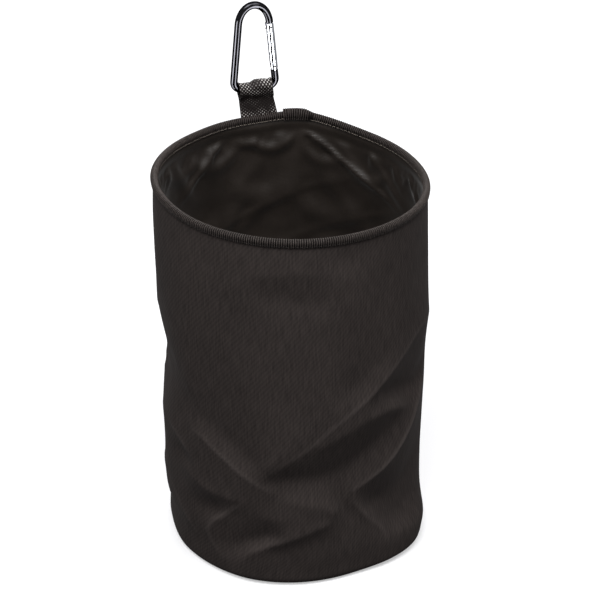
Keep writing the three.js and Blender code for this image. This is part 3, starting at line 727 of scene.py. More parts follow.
rng = np.random.default_rng(21)
lining_heights = heights[heights > LINING_LOW]
lining_depth = wall_depth[heights > LINING_LOW]
down = CLOTH_TOP - lining_heights[:, None]
below = down - SEAM_DROP
girth = 2 * math.pi * LINING_INNER
loose = np.zeros((len(lining_heights), COLUMNS))


def aside(middle):
    """Distance round the lining from a place, the shorter way."""
    return (turns * LINING_INNER - middle + girth / 2) % girth - girth / 2


def hang(begin, slant, reach, wide, high):
    """Fold that starts at the seam and slants down."""
    fade = smooth_step(below, 0, 5) * (1 - smooth_step(below, reach * 0.45, reach))
    wide = wide * (0.6 + below.clip(0) / 120)
    return high * fade * np.exp(-(aside(begin + slant * below) / wide) ** 2)


def swag(turn, half, top, dip, wide, high):
    """Fold that hangs in a bow between two places."""
    off = aside(math.radians(turn) * LINING_INNER) / half
    middle = top + dip * (1 - off ** 2)
    return high * np.clip(1 - off ** 4, 0, 1) * np.exp(-((below - middle) / wide) ** 2)


for place in SWAGS:
    loose += swag(*place)
for turn, *form in SLANTS:
    loose += hang(math.radians(turn) * LINING_INNER, *form)
for _ in range(FOLDS):
    loose += hang(rng.uniform(0, girth), rng.normal(0, 0.7), rng.uniform(*FOLD_REACH),
                  rng.uniform(*FOLD_WIDE), rng.uniform(*FOLD_HIGH))
for _ in range(PUCKERS):
    pucker = hang(rng.uniform(0, girth), rng.normal(0, 0.3), rng.uniform(*PUCKER_REACH), PUCKER_WIDE,
                  rng.uniform(*PUCKER_HIGH))
    loose += pucker * (0.55 + 0.45 * smooth_step(below, 2, 8))
for _ in range(DENTS):
    away = aside(rng.uniform(0, girth) + rng.normal(0, 1.6) * (down - 60)) / DENT_WIDE
    high = rng.uniform(*DENT_HIGH)
    lower = (down - rng.uniform(*DENT_DOWN)) / DENT_TALL
    loose += high * np.exp(-away ** 2 - lower ** 2)
loose = MOST_LOOSE * np.tanh(loose / MOST_LOOSE)
loose *= smooth_step(lining_heights[:, None], *LOOSE_FROM)
channel = np.sin(np.pi * (down - CHANNEL_TOP) / (SEAM_DROP - CHANNEL_TOP))
loose += CHANNEL_BULGE * np.clip(channel, 0, 1) * (down < SEAM_DROP)
print("lining hangs in by up to", round(loose.max(), 2), "mm")

# %% [markdown]
# Satin is smooth and tight, so unlike the twill it gives clear soft highlights along its folds. A
# low roughness does that, with a very fine cross weave in the bump to break the shine.

# %% Black satin
SATIN_SPACING = 0.0009  # drawn coarser than the real 0.15 mm
SATIN_CLOUD = 0.02

satin, tree, shader = start_material("black satin lining", Specular_IOR_Level=0.6, Sheen_Weight=0.12,
                                     Sheen_Roughness=0.35)
uv = add_node(tree, "ShaderNodeUVMap", uv_map="thread")
even = {"Vector": uv, "Scale": bands(SATIN_SPACING), "Distortion": 0.5}
warp = add_node(tree, "ShaderNodeTexWave", even, bands_direction="X")
weft = add_node(tree, "ShaderNodeTexWave", even, bands_direction="Y")
both = {0: warp.outputs["Fac"], 1: weft.outputs["Fac"]}
cross = add_node(tree, "ShaderNodeMath", both, operation="ADD")
cloud = add_node(tree, "ShaderNodeTexNoise", {"Vector": uv, "Scale": 1 / SATIN_CLOUD, "Detail": 4.0})
colour = add_node(tree, "ShaderNodeValToRGB", {"Fac": cloud})
colour.color_ramp.elements[0].color = linear("#171310")
colour.color_ramp.elements[1].color = linear("#2c2622")
dull = add_node(tree, "ShaderNodeMapRange", {"Value": cloud, "To Min": 0.32, "To Max": 0.46})
bump = add_node(tree, "ShaderNodeBump", {"Height": cross, "Strength": 0.25, "Distance": 0.0001})
plug(tree, shader, {"Base Color": colour, "Roughness": dull, "Normal": bump})
print("satin: threads", SATIN_SPACING / MM, "mm apart as drawn")

# %% [markdown]
# The lining steps in over the base seam and stands on the board. Seen from inside, its visible
# face is the inner one, so the rows run downwards, which turns the faces towards the axis.

# %% Lining wall
BOARD_RADIUS = 82.1
FLOOR_HEIGHT = 3.4
LINING_FOOT = [(BOARD_RADIUS - LINING_CLOTH, FLOOR_HEIGHT), (BOARD_RADIUS - LINING_CLOTH, 4.8), (85.0, 9.6)]

foot_r, foot_z = np.array(LINING_FOOT).T[..., None]
radius = np.concatenate([np.repeat(foot_r, COLUMNS, 1), LINING_INNER + lining_depth - loose])[::-1]
level = np.concatenate([foot_z, lining_heights[:, None]])[::-1]
lining_points = on_bag(radius, turns, level)
lining_uv = stacked(turns * LINING_INNER, CLOTH_TOP - level)
lining = add_object("lining_cloth", grid_mesh("lining_cloth", lining_points, lining_uv), satin)
thicken(lining, LINING_CLOTH)
settle(lining, 60)
dress(lining, "bag", "lining_cloth", "lining_wall")

# %% [markdown]
# Inside, the floor of the bag is a disc of the same satin with its edge turned up. Outside, the
# base is a disc of twill, turned up too and sewn to the wall. Both are turned on the bag's axis,
# and low rings of unevenness keep them from looking like sheet metal.

# %% Base cloth and floor of the lining
DISC_RINGS = 16
DISC_SIDES = 96
RIPPLE = 0.12
TURN_UP = 1.0  # radius of the turned edge
PANEL_RADIUS = SEAM_RADIUS - 0.3
FLOOR_RADIUS = BOARD_RADIUS - LINING_CLOTH - 0.8
FLOOR_LIP = 3.5


def cloth_disc(name, edge, low, lip, thickness, material, up):
    """Disc with a turned-up edge. Its visible face looks up or down."""
    rings = np.linspace(0.02, 1, DISC_RINGS) * (edge - TURN_UP)
    r = np.concatenate([rings, [edge - 0.3 * TURN_UP, edge, edge]])[:, None]
    z = np.concatenate([np.full(DISC_RINGS, low), [low + 0.3 * TURN_UP, low + TURN_UP, low + lip]])[:, None]
    around = np.linspace(0, 2 * math.pi, DISC_SIDES, endpoint=False)
    ripple = RIPPLE * np.sin(3 * around + r / 9) * (r < edge - 2)
    points = on_bag(r, around, z + np.abs(ripple))
    mesh = grid_mesh(name, points)
    layer = mesh.uv_layers.new(name="thread")
    corners = np.zeros(len(mesh.loops), int)
    mesh.loops.foreach_get("vertex_index", corners)
    flat_uv = points[..., :2].reshape(-1, 2)[corners] * MM
    layer.data.foreach_set("uv", flat_uv.astype(np.float32).ravel())
    form = bmesh.new()
    form.from_mesh(mesh)
    hole = [e for e in form.edges if e.is_boundary and e.verts[0].co.xy.length < 0.01]
    bmesh.ops.contextual_create(form, geom=hole)
    bmesh.ops.recalc_face_normals(form, faces=form.faces)
    middle = min(form.faces, key=lambda f: f.calc_center_median().xy.length)
    if (middle.normal.z > 0) != up:
        bmesh.ops.reverse_faces(form, faces=form.faces)
    form.to_mesh(mesh)
    form.free()
    item = add_object(name, mesh, material)
    thicken(item, thickness)
    return settle(item)


base = cloth_disc("base_cloth", PANEL_RADIUS, 0.0, SEAM_ALLOWANCE, WALL_CLOTH, twill, up=False)
dress(base, "bag", "wall_cloth", "base_panel")
inside = cloth_disc("lining_floor", FLOOR_RADIUS, FLOOR_HEIGHT + LINING_CLOTH, FLOOR_LIP, LINING_CLOTH, satin,
                    up=True)
dress(inside, "bag", "lining_cloth", "base_lining")

# %% [markdown]
# Close up, nothing has one even colour: fibres, pulp and drawn metal vary a little from spot to
# spot. Many of the finishes below are the same small tree, a noise that mixes two tones in specks
# of a given size. One function makes it, and it hands back the specks for the finishes that also
# want a bump or a changing shine. The tape of the rim is the first: dull black grosgrain.

# %% Speckled finishes
def speckled(name, size, dark, light, detail=2.0, **sockets):
    """Finish of two tones in specks of a size in metres."""
    material, tree, shader = start_material(name, **sockets)
    place = add_node(tree, "ShaderNodeTexCoord").outputs["Object"]
    specks = add_node(tree, "ShaderNodeTexNoise", {"Vector": place, "Scale": 1 / size, "Detail": detail})
    colour = add_node(tree, "ShaderNodeValToRGB", {"Fac": specks})
    colour.color_ramp.elements[0].color = linear(dark)
    colour.color_ramp.elements[1].color = linear(light)
    plug(tree, shader, {"Base Color": colour})
    return material, tree, shader, specks


grosgrain, tree, shader, fibre = speckled("black grosgrain tape", 0.0012, "#0a0908", "#1b1817",
                                          Roughness=0.8, Specular_IOR_Level=0.03)
bump = add_node(tree, "ShaderNodeBump", {"Height": fibre, "Strength": 0.3, "Distance": 0.0001})
plug(tree, shader, {"Normal": bump})
print("tape finish with", len(tree.nodes), "nodes")

# %% [markdown]
# The rim is bound with a ribbed tape folded over a wire hoop and the raw edges of both cloths. In
# section the tape is an upside-down U. That outline, moved round the bag, gives the plain tape. The
# slump moves it with the cloth below, so the two stay together.

# %% Plain tape
RIM_MIDDLE = 88.6
HOOP_HEIGHT = 267.75
TAPE = 0.6
ROLL = 2.25
LIP_STEPS = np.array([0.5, 0.42, 0.25])  # how far each lip lies inside the roll, from its edge up
OUTER_LIP = [-2.75, -1.95, -1.1]
INNER_LIP = [-1.1, -1.95, -3.25]


def tape_outline(roll):
    """Points of the U, outside to inside, as steps out from and up from the middle of the wire."""
    arch = np.radians(np.linspace(-12, 192, 15))
    lip = roll - LIP_STEPS
    out = np.concatenate([lip, roll * np.cos(arch), -lip[::-1]])
    up = np.concatenate([OUTER_LIP, roll * np.sin(arch), INNER_LIP])
    return out, up


def sweep_round(name, out, up, material, start=0.0, stop=2 * math.pi, steps=300, ends=True):
    """Closed outline moved round the rim, all the way or over part of it."""
    whole = stop - start > 6.28
    around = np.linspace(start, stop, steps, endpoint=not whole)
    r = RIM_MIDDLE + np.concatenate([out, out[:1]]).reshape(len(out) + 1, -1)
    z = HOOP_HEIGHT + np.concatenate([up, up[:1]]).reshape(len(up) + 1, -1)
    uv = stacked(around * RIM_MIDDLE, run_along(r[:, 0], z[:, 0])[:, None])
    mesh = closed_form(grid_mesh(name, on_bag(r, around, z), uv, whole), ends)
    return settle(add_object(name, mesh, material), 50)


out, up = tape_outline(ROLL)
inner_out, inner_up = tape_outline(ROLL - TAPE)
tape_out = np.concatenate([out, inner_out[::-1]])
tape_up = np.concatenate([up, inner_up[::-1]])
tape = sweep_round("rim_tape", tape_out, tape_up, grosgrain)
dress(tape, "bag", "binding_tape", "rim_binding")

# %% [markdown]
# Hidden in the tape is a spring steel hoop, its two ends butted in a crimped sleeve. They are
# plain drawn metal, grey with a soft shine. The same sweep makes both, from a round outline.

# %% Drawn steel wire and sleeve
JOIN_TURN = math.radians(165)
WIRE_RADIUS = 0.75
HALF_GAP = 0.25
SLEEVE_RADIUS = 1.2
SLEEVE_WALL = 0.3
HALF_SLEEVE = 6.0
drawn_steel, *_ = speckled("drawn spring steel", 0.0006, "#8f9092", "#c4c5c7", 3.0,
                           Metallic=1.0, Roughness=0.34)

turn = np.radians(np.arange(0, 360, 36))
circle = np.stack([np.cos(turn), np.sin(turn)])
gap_turn = HALF_GAP / RIM_MIDDLE
wire_stop = JOIN_TURN + 2 * math.pi - gap_turn - 1e-3  # a hair short of its other end
wire = sweep_round("rim_wire", *(WIRE_RADIUS * circle), drawn_steel, JOIN_TURN + gap_turn, wire_stop, 200)
dress(wire, "bag", "spring_steel", "rim_hoop")
sleeve_turn = HALF_SLEEVE / RIM_MIDDLE
sleeve = sweep_round("wire_sleeve", *(SLEEVE_RADIUS * circle), drawn_steel, JOIN_TURN - sleeve_turn,
                     JOIN_TURN + sleeve_turn, 8, ends=False)
thicken(sleeve, SLEEVE_WALL, 0)
settle(sleeve)
dress(sleeve, "bag", "spring_steel", "hoop_sleeve")

# %% [markdown]
# Ribs across the tape and stitches both repeat along a line, which is work for Geometry Nodes: a
# path is cut into even steps, a small piece is set on each step with its X along the path and
# its Z away from the bag's axis, and the copies are made real so that they can be exported.

# %% Pieces along a path
along = bpy.data.node_groups.new("pieces along a path", "GeometryNodeTree")
sockets = {
    name: along.interface.new_socket(name, in_out="INPUT", socket_type="NodeSocket" + kind)
    for name, kind in (("Path", "Geometry"), ("Spacing", "Float"), ("Piece", "Object"), ("Wobble", "Float"),
                       ("Seed", "Int"), ("Finish", "Material"))
}
along.interface.new_socket("Pieces", in_out="OUTPUT", socket_type="NodeSocketGeometry")
given = add_node(along, "NodeGroupInput")
curve = add_node(along, "GeometryNodeMeshToCurve", {"Mesh": given.outputs["Path"]})
even = {"Curve": curve, "Length": given.outputs["Spacing"]}
steps = add_node(along, "GeometryNodeResampleCurve", even, mode="LENGTH")
tangent = add_node(along, "GeometryNodeInputTangent")
spot = add_node(along, "GeometryNodeInputPosition")
outward = add_node(along, "ShaderNodeVectorMath", {0: spot, 1: (1, 1, 0)}, operation="MULTIPLY")
ahead = add_node(along, "FunctionNodeAlignRotationToVector", {"Vector": tangent}, axis="X")
upright = {"Rotation": ahead, "Vector": outward}
facing = add_node(along, "FunctionNodeAlignRotationToVector", upright, axis="Z", pivot_axis="X")
swell = add_node(along, "GeometryNodeInputNamedAttribute", {"Name": "swell"}, data_type="FLOAT")
shape = add_node(along, "GeometryNodeObjectInfo", {"Object": given.outputs["Piece"]})
placed = {"Points": steps, "Instance": shape.outputs["Geometry"], "Rotation": facing, "Scale": swell}
copies = add_node(along, "GeometryNodeInstanceOnPoints", placed)
less = add_node(along, "ShaderNodeMath", {0: given.outputs["Wobble"], 1: -1.0}, operation="MULTIPLY")
both_ways = {"Min": less, "Max": given.outputs["Wobble"], "Seed": given.outputs["Seed"]}
wobble = add_node(along, "FunctionNodeRandomValue", both_ways, data_type="FLOAT_VECTOR")
uneven = add_node(along, "GeometryNodeRotateInstances", {"Instances": copies, "Rotation": wobble})
real = add_node(along, "GeometryNodeRealizeInstances", {"Geometry": uneven})
covered = {"Geometry": real, "Material": given.outputs["Finish"]}
finish = add_node(along, "GeometryNodeSetMaterial", covered)
add_node(along, "NodeGroupOutput", {"Pieces": finish})


def along_path(name, points, closed, swells=1.0, **values):
    """Sets pieces along a line of points. The last values go to the node tree."""
    count = len(points)
    edges = [(i, (i + 1) % count) for i in range(count if closed else count - 1)]
    mesh = bpy.data.meshes.new(name)
    mesh.from_pydata((points * MM).tolist(), edges, [])
    keep_number(mesh, "swell", np.broadcast_to(swells, count))
    item = add_object(name, mesh)
    modifier = item.modifiers.new("along", "NODES")
    modifier.node_group = along
    for key, value in values.items():
        modifier[sockets[key].identifier] = value
    return settle(item, 60)


print("node tree with", len(along.nodes), "nodes")

# %% [markdown]
# One rib is a low round bead that runs over the tape from its outer edge to its inner edge. The
# real ribs are about a millimetre and a half apart. They leave a gap where the tape's end laps
# over its start.

# %% Ribs of the tape
RIB_SPACING = 1.45
RIB_WIDTHS = np.array([-0.40, -0.18, 0.18, 0.40])[:, None]
RIB_LIFTS = np.array([-0.15, 0.26, 0.26, -0.15])[:, None]
RIB_WOBBLE = 0.03
RIB_CENTRE = 1.2  # below the wire: the ribs face away from this point
RIM_STEPS = 240
LAP_TURN = math.radians(161)
LAP_LENGTH = 21.5
# The ribs get a lighter copy of the tape's black: a painted highlight on their tops, where the light catches
# them.
grosgrain_rib_highlight, *_ = speckled("black grosgrain rib", 0.0018, "#1a1716", "#544d4a", Roughness=0.5,
                             Specular_IOR_Level=0.08)


def ribs_along(name, around, out, up, seed, swells=1.0):
    """Beads that follow an outline of the tape, set along part of the rim."""
    slope = np.stack([np.gradient(up), -np.gradient(out)], -1)
    away = -slope / np.linalg.norm(slope, axis=1)[:, None]
    away *= np.sign(np.sum(away * np.stack([out, up + RIB_CENTRE], -1), 1))[:, None]
    points = stacked(RIB_WIDTHS, up + RIB_LIFTS * away[:, 1], out + RIB_LIFTS * away[:, 0])
    bead = add_object("rib", closed_form(grid_mesh("rib", points, wrap=False)))
    item = along_path(name, on_bag(RIM_MIDDLE, around, HOOP_HEIGHT), False, swells, Spacing=RIB_SPACING * MM,
                      Piece=bead, Wobble=RIB_WOBBLE, Seed=seed, Finish=grosgrain_rib_highlight)
    bpy.data.objects.remove(bead)
    dress(item, "bag", "binding_tape")


half_lap = LAP_LENGTH / 2 / RIM_MIDDLE
past_lap = np.linspace(LAP_TURN + half_lap, LAP_TURN - half_lap + 2 * math.pi, RIM_STEPS)
ribs_along("rim_ribs", past_lap, out, up, seed=3)

# %% [markdown]
# At the lap the end of the tape is folded under and sewn over its start, so the rim is thicker
# there. The lump stands up steeply on the left and slopes away to the right. Its outline is the
# tape's own, grown by a share that changes along the lap, and the ribs on it grow alike.

# %% Lap of the tape
LAP_THICK = 1.0
LAP_TOP = 0.8
LAP_SLOPE = 8.0
LAP_START = 0.06
LAP_STEPS = 24
LAP_CLEAR = 0.02
LAST_RIB = 0.97  # share of the half lap

out, up = tape_outline(ROLL + LAP_THICK)
up = up + LAP_TOP * np.clip(up / ROLL, 0, 1)
inner_out, inner_up = tape_outline(ROLL + LAP_CLEAR)
lap_turns = np.linspace(LAP_TURN - half_lap, LAP_TURN + half_lap, LAP_STEPS)
grown = smooth_step(np.linspace(0, LAP_LENGTH, LAP_STEPS), 0, LAP_SLOPE)
grown = LAP_START + (1 - LAP_START) * grown


def lapped(inner, outer):
    """Outer side of the lap, which grows along it, and then the inner side, which does not."""
    grows = inner[:, None] + grown * (outer - inner)[:, None]
    return np.concatenate([grows, np.repeat(inner[::-1, None], LAP_STEPS, 1)])


lap = sweep_round("rim_lap", lapped(inner_out, out), lapped(inner_up, up), grosgrain,
                  lap_turns[0], lap_turns[-1], LAP_STEPS)
dress(lap, "bag", "binding_tape")
full = ROLL + LAP_THICK + LAP_TOP
rib_turns = np.linspace(lap_turns[0], LAP_TURN + half_lap * LAST_RIB, LAP_STEPS)
ribs_along("lap_ribs", rib_turns, out, up, seed=4, swells=(ROLL + grown * (full - ROLL)) / full)

# %% [markdown]
# The loop is one strip of woven webbing. It starts sewn to the wall, goes up over the binding,
# round the bottom bar of the hook and back down to the same seam. Here it is drawn as a line in
# side view and given its width, its thickness and a real raised weave, because the light catches
# the top of every thread.

# %% Path of the webbing
WEB = 1.5
WEB_HALF = 13.0
NECK_HALF = 11.75
WEB_STEP = 0.34
LOOP_Y = 92.65
BAR_HEIGHT = 292.0
BAR_RADIUS = 2.6
EYE_PLAY = 0.3
EYE = BAR_RADIUS + EYE_PLAY + WEB / 2
SEWN_IN = 1.35  # how much nearer to the axis the sewn end lies
SEWN = [(-SEWN_IN, 248.0), (-SEWN_IN, 259.7), (-1.15, 261.6), (-0.2, 263.8), (0, 265.4), (0, 281.6)]
PARTS_AT = 282.0  # height where the two plies part
PARTS_PULL = 287.0


def bezier(a, b, c, d, steps):
    t = np.linspace(0, 1, steps)[:, None]
    a, b, c, d = map(np.array, (a, b, c, d))
    return (1 - t) ** 3 * a + 3 * t * (1 - t) ** 2 * b + 3 * t * t * (1 - t) * c + t ** 3 * d


def ply(side):
    """Middle of the inner or the outer ply in side view, from the sewn end up to beside the bar."""
    y = LOOP_Y + side * WEB / 2
    beside = LOOP_Y + side * EYE
    part = bezier((y, PARTS_AT), (y, PARTS_PULL), (beside, PARTS_PULL), (beside, BAR_HEIGHT), 14)
    return np.concatenate([np.array(SEWN) + [y, 0], part])


over = np.radians(np.linspace(180, 0, 20))[1:-1]
round_bar = np.stack([LOOP_Y + EYE * np.cos(over), BAR_HEIGHT + EYE * np.sin(over)], -1)
line = np.concatenate([ply(-1), round_bar, ply(1)[::-1]])
run = run_along(line[:, 0], line[:, 1])
places = np.linspace(0, run[-1], int(run[-1] / WEB_STEP))
middle = np.stack([np.interp(places, run, line[:, i]) for i in range(2)], -1)
for _ in range(6):
    middle[1:-1] = middle[1:-1] / 2 + (middle[2:] + middle[:-2]) / 4
slope = np.gradient(middle, axis=0)
slope /= np.linalg.norm(slope, axis=1)[:, None]
face = np.stack([-slope[:, 1], slope[:, 0]], -1)
print("webbing strip", round(run[-1], 1), "mm long,", len(places), "steps")

# %% [markdown]
# The weave is real relief. Lengthwise threads lie side by side, and each one rises over every other
# cross thread, in turn with its neighbours. The strip has two such faces that meet at its edges.
# Then it is bent to the round wall, spread round the hook's tight corners, left a little slack over
# the bar, and set askew as it is sewn.

# %% Woven strip
END_SPACING = 1.35
PICK_SPACING = 2.3
WEAVE_DEPTH = 0.36
HALF_THICK = 0.55
EDGE_SHARE = 0.06  # share of the half width over which the edge is rounded
NECK_REACH = 20.2
WEB_LEAN = 3.6  # the sewn end sits this far to the right of the bar
SLACK = 1.7
BACK_RADIUS = 91.0
HOOK_CORNER = 5.5
CORNER_X = 9.15
BOW_FADES = (266, 276)  # heights over which it comes free of the round wall
WEB_STRAIGHTENS = (262, 296)
FLARE_BELOW = 8
SLACK_GROWS = (-3.5, 1.0)  # from left to right
SLACK_FADES = (5, 12)
SLACK_OVER = (-1, 3)  # heights from the middle of the bar
# Heights over which the painted glints on the thread tops fade to half, and over which they come back.
GLINT_FADES = (271, 280)
GLINT_RETURNS = (281, 292)


def bow(x):
    """How far the round wall falls away beside the middle of the back."""
    return BACK_RADIUS - np.sqrt(BACK_RADIUS ** 2 - x ** 2)


across = np.linspace(-1, 1, 77)
ends = (across + 1) * WEB_HALF / END_SPACING
bulge = np.abs(np.sin(np.pi * ends)) ** 0.6
pick = 0.5 + 0.5 * np.cos(2 * np.pi * (places[:, None] / PICK_SPACING + 0.5 * (np.floor(ends) % 2)))
edge = np.clip((1 - np.abs(across)) / EDGE_SHARE, 0, 1) ** 0.5
lift = edge * (HALF_THICK + WEAVE_DEPTH * bulge * (pick - 0.55))
drop = np.clip((BAR_HEIGHT - middle[:, 1]) / NECK_REACH, 0, 1)
x = (NECK_HALF + (WEB_HALF - NECK_HALF) * drop)[:, None] * across
sides = []
for sign in (1, -1):
    y, z = (middle[:, i, None] + sign * lift * face[:, i, None] for i in range(2))
    sides.append(stacked(x, y, z))
points = np.concatenate([sides[0], sides[1][:, ::-1]], 1)
points[..., 1] -= bow(points[..., 0]) * (1 - smooth_step(points[..., 2], *BOW_FADES))
past = np.clip(np.abs(points[..., 0]) - CORNER_X, 0, HOOK_CORNER - BAR_RADIUS - 0.1)
flare = HOOK_CORNER - np.sqrt((HOOK_CORNER - BAR_RADIUS) ** 2 - past ** 2) - BAR_RADIUS
near = smooth_step(points[..., 2], BAR_HEIGHT - FLARE_BELOW, BAR_HEIGHT - EYE)
off = points[..., 1:] - [LOOP_Y, BAR_HEIGHT]
slack = smooth_step(points[..., 0], *SLACK_GROWS) * (1 - 0.5 * smooth_step(points[..., 0], *SLACK_FADES))
slack *= SLACK * smooth_step(off[..., 1], *SLACK_OVER)
points[..., 1:] += off / np.linalg.norm(off, axis=-1)[..., None] * (flare * near + slack)[..., None]
points[..., 0] += WEB_LEAN * (1 - smooth_step(points[..., 2], *WEB_STRAIGHTENS))
web_x = np.concatenate([across, across[::-1]]) * WEB_HALF
web_uv = stacked(web_x, places[:, None])
# Painted glints: full low on the strip and over the top fold, half near 280 mm, after how light falls.
glint_by_height = smooth_step(points[..., 2], *GLINT_RETURNS) + 1 - smooth_step(points[..., 2], *GLINT_FADES)
crown = np.concatenate([bulge * pick, (bulge * pick)[:, ::-1]], 1) ** 2 * (0.5 + 0.5 * glint_by_height)
print("weave:", len(places), "by", len(across), "points on each face")

# %% [markdown]
# Webbing is black, but the top of every thread is a small shiny hump, so from some way off it
# looks peppered with light specks. The mesh keeps how far each point stands up in an attribute,
# weighted by height for how the light falls. The material makes the humps smoother than the gaps
# and paints them lighter: painted glints.

# %% Black webbing
FIBRE_WIDTH = 0.0003
FIBRE_RUN = 0.002
PATCH_SIZE = 0.009  # size of the patches where the painted glints are stronger or weaker

polypropylene, tree, shader = start_material("black woven webbing", Specular_IOR_Level=0.12)
uv = add_node(tree, "ShaderNodeUVMap", uv_map="thread")
drawn = {"Vector": uv, "Scale": (1 / FIBRE_WIDTH, 1 / FIBRE_RUN, 1)}
thin = add_node(tree, "ShaderNodeMapping", drawn)
fibre = add_node(tree, "ShaderNodeTexNoise", {"Vector": thin, "Scale": 1.0, "Detail": 2.0})
top = add_node(tree, "ShaderNodeAttribute", attribute_name="crown")
patchiness = add_node(tree, "ShaderNodeTexNoise", {"Vector": uv, "Scale": 1 / PATCH_SIZE, "Detail": 1.0})
glint_patches = {"Value": patchiness, "From Min": 0.35, "From Max": 0.6, "To Min": 0.6, "To Max": 1.2}
glint_patch = add_node(tree, "ShaderNodeMapRange", glint_patches)
crowns_with_glint = add_node(tree, "ShaderNodeMath", {0: top.outputs["Fac"], 1: glint_patch}, operation="MULTIPLY")
# The light end of this ramp is a painted glint on the thread tops, not a colour of the webbing.
colour = add_node(tree, "ShaderNodeValToRGB", {"Fac": crowns_with_glint})
colour.color_ramp.elements[0].position = 0.35
colour.color_ramp.elements[0].color = linear("#201c1b")
colour.color_ramp.elements[1].position = 0.95
colour.color_ramp.elements[1].color = linear("#c9c4c0")
rough = add_node(tree, "ShaderNodeMapRange", {"Value": crowns_with_glint, "To Min": 0.65, "To Max": 0.25})
bump = add_node(tree, "ShaderNodeBump", {"Height": fibre, "Strength": 0.4, "Distance": 0.0001})
plug(tree, shader, {"Base Color": colour, "Roughness": rough, "Normal": bump})
print("webbing finish with", len(tree.nodes), "nodes")

# %% [markdown]
# The strip is sewn to the bag at its foot and wraps the bar of the hook at its top. Here it
# becomes one plain mesh, with its place baked into its points, and takes the place of the
# imported tab and loop.

mesh = grid_mesh("webbing_strip", points, web_uv)
keep_number(mesh, "crown", crown)
strip = settle(add_object("webbing_strip", closed_form(mesh), polypropylene), 70)
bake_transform(strip)
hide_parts("loop_tab", "hanging_loop")
print(strip.name, len(strip.data.polygons), "faces")

# %% [markdown]
# Sewing thread shows as small raised dashes whose ends dive into the cloth. One stitch is a thin
# spindle bent over lengthwise. A row runs round the binding, inside and out, and a box of
# stitches holds the webbing to the wall.

# %% Stitches
STITCH_LENGTH = 2.4
STITCH_THICK = 0.42
STITCH_LIFT = 0.2  # of the box, out from the webbing
ROW_SPACING = 3.0
ROW_WOBBLE = 0.05
BOX_SPACING = 2.6
BOX_WOBBLE = 0.06
BOX_HALF = 10.0
BOX_LOW = 250.5
BOX_HIGH = 257.5
BOX_ACROSS = 12  # points of its path
BOX_UP = 6
thread_finish = {"Roughness": 0.6, "Specular_IOR_Level": 0.08}
thread_black, *_ = speckled("black sewing thread", 0.0005, "#0d0c0b", "#262322", **thread_finish)
thread_grey, *_ = speckled("grey sewing thread", 0.0005, "#5c544d", "#a39a90", **thread_finish)
RIM_ROWS = {  # step out from the wire, height, seed and thread
    "outer_rim_stitches": (1.95, 265.7, 5, thread_black),
    "inner_rim_stitches": (-1.9, 265.3, 6, thread_grey),
}

share = np.array([-0.5, -0.42, -0.2, 0.2, 0.42, 0.5])[:, None]
size = np.array([0.05, 0.7, 1.0, 1.0, 0.7, 0.05])[:, None] * STITCH_THICK / 2
ring = np.radians(np.arange(0, 360, 60))
arch = STITCH_THICK * 0.35 - 1.2 * STITCH_THICK * (2 * share) ** 4
spindle = stacked(share * STITCH_LENGTH, size * np.cos(ring), arch + size * np.sin(ring))
dash = add_object("stitch", closed_form(grid_mesh("stitch", spindle)))


def sew(name, points, slot, spacing, wobble, seed, finish):
    """Row of stitches along a closed line."""
    row = along_path(name, points, True, Spacing=spacing * MM, Piece=dash, Wobble=wobble, Seed=seed,
                     Finish=finish)
    dress(row, "bag", slot)


around = np.linspace(0, 2 * math.pi, RIM_STEPS, endpoint=False)
for name, (step, height, seed, thread) in RIM_ROWS.items():
    row = on_bag(RIM_MIDDLE + step, around, height)
    sew(name, row, "binding_tape", ROW_SPACING, ROW_WOBBLE, seed, thread)
over = np.linspace(-BOX_HALF, BOX_HALF, BOX_ACROSS)
upward = np.linspace(BOX_LOW, BOX_HIGH, BOX_UP)
box_x = np.concatenate([over, np.full(BOX_UP, BOX_HALF), -over, np.full(BOX_UP, -BOX_HALF)])
box_z = np.concatenate([np.full(BOX_ACROSS, BOX_LOW), upward, np.full(BOX_ACROSS, BOX_HIGH), upward[::-1]])
box_y = LOOP_Y - SEWN_IN + WEB + STITCH_LIFT - bow(box_x)
box = np.stack([box_x + WEB_LEAN, box_y, box_z], -1)
sew("tab_stitches", box, "webbing", BOX_SPACING, BOX_WOBBLE, 7, thread_black)
bpy.data.objects.remove(dash)

# %% [markdown]
# The hook is a bar of aluminium bent into a narrow pear and dyed gloss black. Its middle line is
# made of straight legs, an elliptical bow and two tight bottom corners, with the lean of the legs
# found so that everything meets smoothly. A round section moved along that line gives the bar.

# %% Middle line of the hook
HOOK_LENGTH = 66.0
HOOK_BAR = 5.2
BOW_WIDTH = 21.9
BOW_RISE = 14.8
HINGE_POST = 6.0
LEFT_LEG = 30.0
GATE_RADIUS = 2.7
GATE_GAP = 0.5

bow_height = HOOK_LENGTH - HOOK_BAR - BOW_RISE
leg_lean = 0.0
for _ in range(20):
    bow_start = math.atan(math.tan(leg_lean) * BOW_RISE * 2 / BOW_WIDTH)
    foot_out = CORNER_X + HOOK_CORNER * math.cos(leg_lean)
    leg_foot = np.array([foot_out, HOOK_CORNER * (1 + math.sin(leg_lean))])
    leg_top = np.array([BOW_WIDTH / 2 * math.cos(bow_start), bow_height + BOW_RISE * math.sin(bow_start)])
    leg_lean = math.atan((leg_foot[0] - leg_top[0]) / (leg_top[1] - leg_foot[1]))
leg_up = np.array([-math.sin(leg_lean), math.cos(leg_lean)])
nose = leg_top - GATE_GAP * leg_up
shoulder = leg_foot + HINGE_POST * leg_up
hinge = shoulder + (GATE_GAP + GATE_RADIUS) * leg_up
gate_reach = float(np.linalg.norm(nose - hinge))


def arc(cx, cy, rx, ry, start, stop, steps):
    angle = np.linspace(start, stop, steps)
    return np.stack([cx + rx * np.cos(angle), cy + ry * np.sin(angle)], -1)


def straight(a, b, steps):
    return np.array(a) + (np.array(b) - np.array(a)) * np.linspace(0, 1, steps)[:, None]


